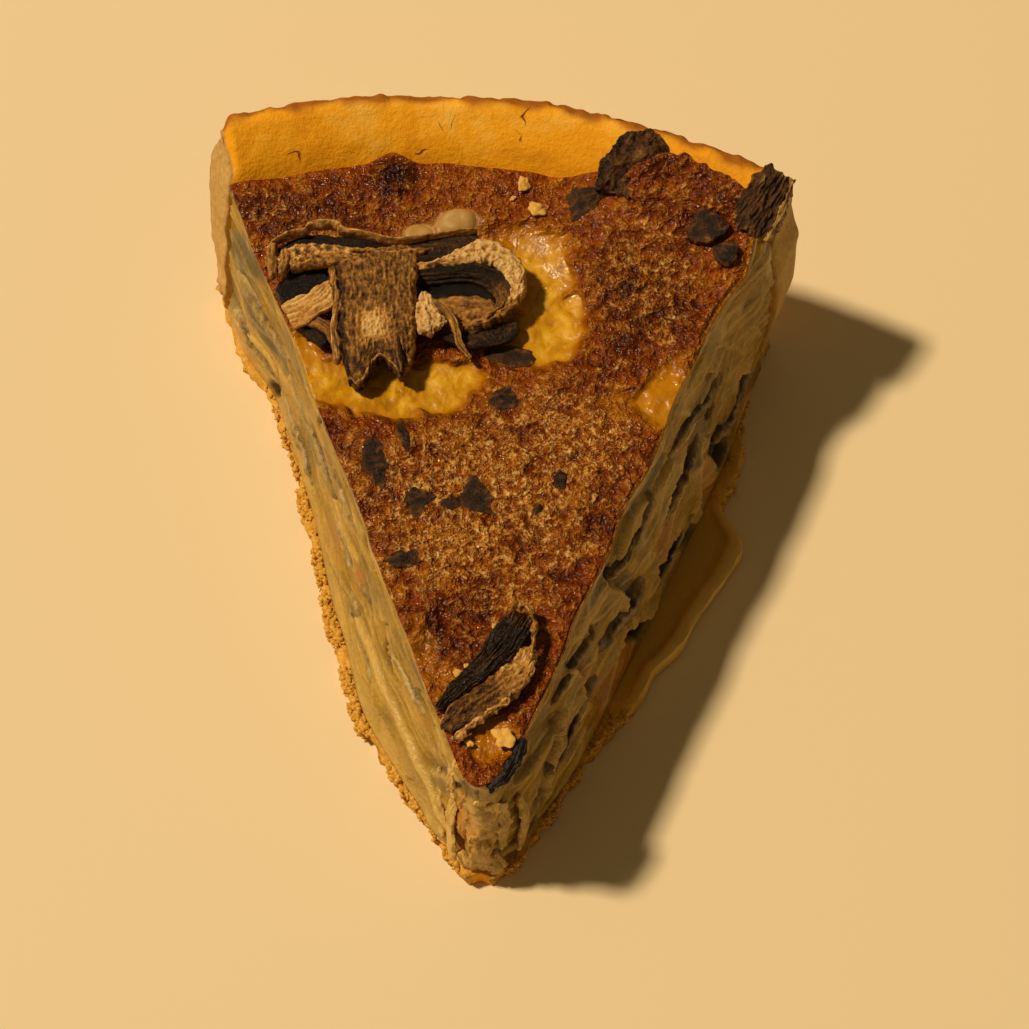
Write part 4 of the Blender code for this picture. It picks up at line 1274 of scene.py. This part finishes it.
# Slices that the knife went through: (distance from the nose, height at each end, length, thickness, proud).
BAND_DEPTH = 9.0
BAND_WAVE = 0.9
LEFT_BANDS = (
    (121, 27.5, 22, 30, 5.0, 0.8),
    (90, 22, 22, 28, 4.4, 0.5),
    (126, 12, 9, 22, 3.6, 0.6),
    (99, 9.5, 12, 24, 3.4, 0.3),
    (72, 31, 29, 24, 3.2, 0.3),
    (63, 20, 19, 22, 3.4, 0.3),
    (50, 10, 13, 22, 3.0, 0.3),
    (34, 27, 22, 20, 3.2, 0.3),
)
RIGHT_BANDS = (
    (96, 31, 27, 26, 3.8, 0.9),
    (85, 20, 22, 22, 4.6, 0.9),
    (112, 13, 10.5, 24, 4.4, 0.8),
    (76, 10.5, 8.5, 22, 3.4, 0.8),
    (64, 31, 29, 22, 3.2, 0.7),
    (54, 21, 16, 20, 5.4, 1.2),
    (36, 30, 28, 20, 3.2, 0.7),
    (31, 14, 18, 22, 3.6, 0.8),
)


# Darker along the top of each band's face: dark gills deepened by painted shade of the gap there; paler
# below.
def slice_shade(t, v, w):
    return -0.3 * smooth((w - 0.65) / 0.2) * smooth(1.4 - 3 * abs(t - 0.4)) + 0.15 * smooth(-w)


def make_bands():
    for side, word, bands in ((-1, "left", LEFT_BANDS), (1, "right", RIGHT_BANDS)):
        for i, (s, z0, z1, length, thickness, proud) in enumerate(bands):
            path = []
            for j in range(4):
                along = s + length * (j / 3 - 0.5)
                z = lerp(z0, z1, j / 3) + BAND_WAVE * math.sin(2.1 * j + 0.13 * s)
                path.append(on_cut(side, along, custard_face(side, along, z) + proud - BAND_DEPTH / 2, z))
            part = strip(
                path, (BAND_DEPTH * 0.96, BAND_DEPTH, BAND_DEPTH, BAND_DEPTH * 0.96), thickness,
                0.78 if side < 0 else 0.62, (9, 1.4), 0.3, 0.25, steps=(80, 14, 16), ruffle=0.8, end=0.45,
                wet=0.6, seed=50 + i + 10 * side, torn=0.6,
                shade=slice_shade,
            )
            name = f"cooked_mushroom_{word}_{i + 1}"
            bundle(name, [part], COOKED, f"mushroom_cut_{word}_{i + 1}")


# Scraps of leek and mushroom baked into the top: place, length, breadth, turn in degrees, how pointed.
SCRAPS = (
    (15.2, 129.4, 9.5, 6.5, 68, 0.5),
    (1.6, 94, 11, 4.6, -8, 0.3),
    (0.9, 83.7, 7.0, 5.4, 20, 0.4),
    (-22.8, 69, 5.0, 10, 14, 0.3),
    (-3.6, 62.0, 7.5, 7.5, 32, 0.9),
    (-7.6, 60.8, 5.5, 2.6, 12, -0.4),
    (-13.6, 61.4, 6.5, 6.0, 200, 0.6),
    (-16.2, 49, 7, 3.6, 10, 0.4),
    (39.5, 121.5, 8, 7, 30, 0.4),
    (43.5, 116, 5, 4.0, -30, 0.2),
    (-17.6, 75, 2.4, 7.5, 16, 0.2),
    (12.4, 66, 3.0, 4.6, 0, 0.2),
    (8.6, 60, 2.6, 2.0, 30, 0.2),
    (-27, 121, 4, 2, 20, 0.2),
)


def make_scraps():
    whole = bmesh.new()
    for i, (x, y, length, breadth, turn, point) in enumerate(SCRAPS):
        bm = block(steps_of(36, 32, 2))
        tone_layer, wet_layer = layer(bm, "tone"), layer(bm, "wet")
        c, s = math.cos(math.radians(turn)), math.sin(math.radians(turn))
        for vert in bm.verts:
            u, v, w = vert.co
            round_u, round_v = u * math.sqrt(1 - v * v / 2), v * math.sqrt(1 - u * u / 2)
            ragged = 1 + 0.26 * noise.noise(Vector((round_u * 1.5, round_v * 1.5, 5 * i)))
            ragged += 0.1 * noise.noise(Vector((round_u * 4, round_v * 4, 7 * i)))
            a = round_u * ragged * length / 2
            b = round_v * ragged * breadth / 2 * (1 + point * round_u)
            px, py = x + a * c - b * s, y + a * s + b * c
            place = Vector((px, py, 0))
            crease = noise.noise(Vector((a * 0.5, b * 1.1, i)))
            dome = 1 - min(round_u * round_u + round_v * round_v, 1)
            z = surface(px, py) - 0.5 + 0.6 * dome**0.5
            z += 0.2 * crease + 0.16 * wobble(place, 1.6, i) + w * 0.3
            vert.co = (px, py, z)
            vert[tone_layer] = clamp(0.36 + 0.4 * crease + 0.2 * wobble(place, 1.4, i) + 0.25 * (0.5 - dome))
            vert[wet_layer] = 0.5
        face_outward(bm)
        merge(whole, bm)
    dress(whole, "leek_and_mushroom_scraps", BROWNED, ["custard_filling"])


# Torn flakes of custard at the nose: path as (place across, how far proud, height), widths, thickness,
# paleness.
FLAKES = (
    (((1.6, 0.2, 27), (2.0, 0.7, 22), (2.6, 0.5, 17)), (2.4, 3.8, 2.2), 1.0, 0.85),
    (((-1.8, -1.0, 28), (-2.6, -0.8, 21), (-3.0, -0.1, 13)), (1.4, 2.8, 2.0), 1.0, -0.3),
    (((4.2, 0.1, 25), (4.4, 0.4, 18), (4.2, 0.6, 11)), (1.4, 2.6, 2.2), 1.0, 0.3),
    (((-5.0, 0.2, 21), (-5.6, 0.5, 14), (-5.4, 0.6, 7)), (1.6, 2.8, 2.4), 1.0, 0.45),
    (((-0.6, 0.3, 17), (0.0, 0.7, 11), (0.6, 0.6, 5)), (1.8, 3.6, 2.6), 1.2, 0.0),
    (((-7.6, 0.1, 19), (-7.8, 0.5, 12), (-7.4, 0.5, 6)), (1.4, 3.0, 2.2), 1.0, 0.3),
    (((7.0, 0.2, 21), (7.6, 0.4, 14), (7.4, 0.6, 7)), (1.2, 2.4, 2.0), 1.0, 0.3),
    (((-4.4, 0.0, 33), (-5.2, 0.4, 27), (-5.8, 0.4, 20)), (1.2, 2.2, 1.6), 1.0, 0.6),
    (((2.0, 0.3, 10), (2.8, 0.8, 7), (3.6, 0.6, 4.5)), (1.8, 3.2, 2.2), 1.2, 0.15),
    (((-3.6, 0.2, 9), (-3.0, 0.8, 6), (-2.2, 0.6, 4.5)), (1.8, 3.0, 2.0), 1.2, 0.5),
    (((0.4, -0.6, 33), (0.2, -0.2, 28), (-0.6, 0.0, 22)), (1.0, 1.6, 1.0), 0.9, 0.55),
)


def nose_front(x, z):
    """How far back the custard's torn front lies at this place across and this height."""
    side = -1 if x < 0 else 1
    middle = lerp(1.4, NOSE_SETBACK, smooth(z / FILL_HEIGHT * 1.1))
    middle += 2.2 * min(abs(x) / 2.6, 1) ** 2.5 * smooth(z / FILL_HEIGHT * 2)
    cut = on_cut(side, 0, custard_face(side, 8, z), z)
    return max(middle, cut.y + (abs(x) - abs(cut.x)) / math.tan(CUT_RIGHT))


def make_flakes():
    whole = bmesh.new()
    for i, (places, widths, thickness, paleness) in enumerate(FLAKES):
        path = [Vector((x, nose_front(x, z) + 0.4 - proud, z)) for x, proud, z in places]
        facing = Vector((0.3 * path[1].x, -1, 0.3))
        part = strip(
            path, widths, thickness, facing=facing, steps=(50, 28, 4),
            relief=0.35, fibre=(3, 0.8), ruffle=0.8,
            torn=0.8, soft=0.3, seed=60 + i, end=0.4,
        )
        pale = layer(part, "pale")
        amber = layer(part, "amber")
        for vert in part.verts:
            # Every flake is lifted 0.3 paler: painted light for the dimly lit nose front; the listed paleness
            # and the amber vary for real.
            vert[pale] = clamp(0.3 + 0.7 * paleness + 0.3 * wobble(vert.co, 2, 33))
            vert[amber] = clamp(0.35 - paleness + 0.3 * wobble(vert.co, 3, 34))
        merge(whole, part)
    dress(whole, "torn_custard_flakes", CUSTARD)


# Crumbs on the top: place, breadth, height above the top.
TOP_CRUMBS = (
    (3.3, 134, 3.2, 0.7),
    (6.1, 127.8, 4.2, 0.7),
    (4.0, 13.6, 4.2, 0.9),
    (-4.9, 25.7, 1.6, 1.2),
    (-3.0, 26.5, 1.8, 1.3),
    (1.6, 34.8, 1.6, 2.4),
    (-2.0, 12.4, 1.4, 0.8),
    (1.2, 130.6, 1.2, 0.4),
    (18.5, 131.5, 1.4, 0.9),
)


def crumb(bm, place, size, seed, fine=2, flat=1.0):
    """Adds one angular crumb."""
    made = bmesh.ops.create_icosphere(bm, subdivisions=fine, radius=size / 2)["verts"]
    turn = Matrix.Rotation(seed * 1.7, 3, (0.4, 0.3, 1))
    for vert in made:
        cell = noise.voronoi(vert.co / size * 2.0 + Vector((seed, 0, 0)))[0][0]
        shape = turn @ (Vector((1.3 * vert.co.x, vert.co.y, 0.75 * vert.co.z)) * (1.2 - 0.75 * cell))
        vert.co = Vector((shape.x, shape.y, shape.z * flat)) + place


def make_crumbs():
    rng = random.Random(11)
    bm = bmesh.new()
    torn, edge_lip = layer(bm, "torn"), layer(bm, "lip")
    for i, (x, y, size, height) in enumerate(TOP_CRUMBS):
        crumb(bm, Vector((x, y, surface(x, y) + height)), size, i + 1, 4, 0.45)
    for vert in bm.verts:
        vert[edge_lip] = 0.4
    for i in range(round(9000 * DETAIL)):
        side = -1 if rng.random() < 0.75 else 1
        s = rng.uniform(3, 119)
        width = read(BASE_LEFT if side < 0 else BASE_RIGHT, s)
        clump = noise.noise(Vector((s / 7, side, 0))) + 0.5 * noise.noise(Vector((s / 2.5, side, 4)))
        if width > 13 or clump < rng.uniform(-0.25, 0.5) or rng.random() < (s - 70) / 60:
            continue
        custard = custard_face(side, s, 4)
        out = rng.triangular(max(custard - 0.5, 0.5), width + 0.2 + clump, width)
        size = rng.triangular(0.3, 2.0, 0.4)
        z = 3.8 - rng.random() ** 2 * 3.4 * smooth((out - width + 1) / 1) + 0.1 * size
        crumb(bm, on_cut(side, s, out, z), size, i + 20, 1)
    for vert in bm.verts:
        vert[torn] = 1.0
    dress(bm, "pastry_crumbs", PASTRY)


make_pastry()
make_custard()
make_top_slice()
make_nose_slice()
make_rim_slice()
make_baked_over_fold()
make_corner_slice()
make_nose_skin()
make_bands()
make_scraps()
make_flakes()
make_crumbs()


# Floor, light and camera.

FLOOR_HALF_WIDTH = 1.5
LAMP_POWER = 252
LAMP_SIZE = 0.46
LAMP_COLOUR = (1.0, 0.818, 0.565)
LAMP_DIRECTION = Vector((-0.56, 0.1, 0.822))
LAMP_DISTANCE = 5.0
SKY_COLOUR = (1.0, 0.76, 0.37, 1)
SKY_STRENGTH = 0.11
# The camera's lens is this many pixels long in a picture this many pixels wide.
LENS_PIXELS = 2310
PICTURE_PIXELS = 1029
SENSOR_WIDTH = 36


def make_floor():
    bm = bmesh.new()
    bmesh.ops.create_grid(bm, x_segments=1, y_segments=1, size=FLOOR_HALF_WIDTH)
    mesh = bpy.data.meshes.new("floor")
    bm.to_mesh(mesh)
    bm.free()
    mat, _, shader = start("matt pale card", 0.9, specular=0.2)
    shader.inputs["Base Color"].default_value = colour("EFDAB2")
    mesh.materials.append(mat)
    floor = bpy.data.objects.new("floor", mesh)
    bpy.context.scene.collection.objects.link(floor)


def aim(obj, place, target):
    obj.location = place
    obj.rotation_euler = (Vector(target) - Vector(place)).to_track_quat("-Z", "Y").to_euler()
    bpy.context.scene.collection.objects.link(obj)


def make_light():
    lamp = bpy.data.lights.new("key", "AREA")
    lamp.energy = LAMP_POWER
    lamp.size = LAMP_SIZE
    lamp.color = LAMP_COLOUR
    aim(bpy.data.objects.new("key", lamp), LAMP_DIRECTION * LAMP_DISTANCE, (0, 0, 0.02))
    world = bpy.data.worlds.new("studio")
    world.use_nodes = True
    sky = world.node_tree.nodes["Background"]
    sky.inputs["Color"].default_value = SKY_COLOUR
    sky.inputs["Strength"].default_value = SKY_STRENGTH
    bpy.context.scene.world = world
    bpy.context.scene.view_settings.view_transform = "Standard"


def make_camera():
    camera = bpy.data.cameras.new("camera")
    camera.sensor_width = SENSOR_WIDTH
    camera.lens = SENSOR_WIDTH * LENS_PIXELS / PICTURE_PIXELS
    camera.clip_start = 0.01
    eye = NOSE * MM + Vector((0.01224, -0.15714, 0.40942))
    target = NOSE * MM + Vector((0.0038, 0.0688, 0.02))
    obj = bpy.data.objects.new("camera", camera)
    aim(obj, eye, target)
    bpy.context.scene.camera = obj


make_floor()
make_light()
make_camera()
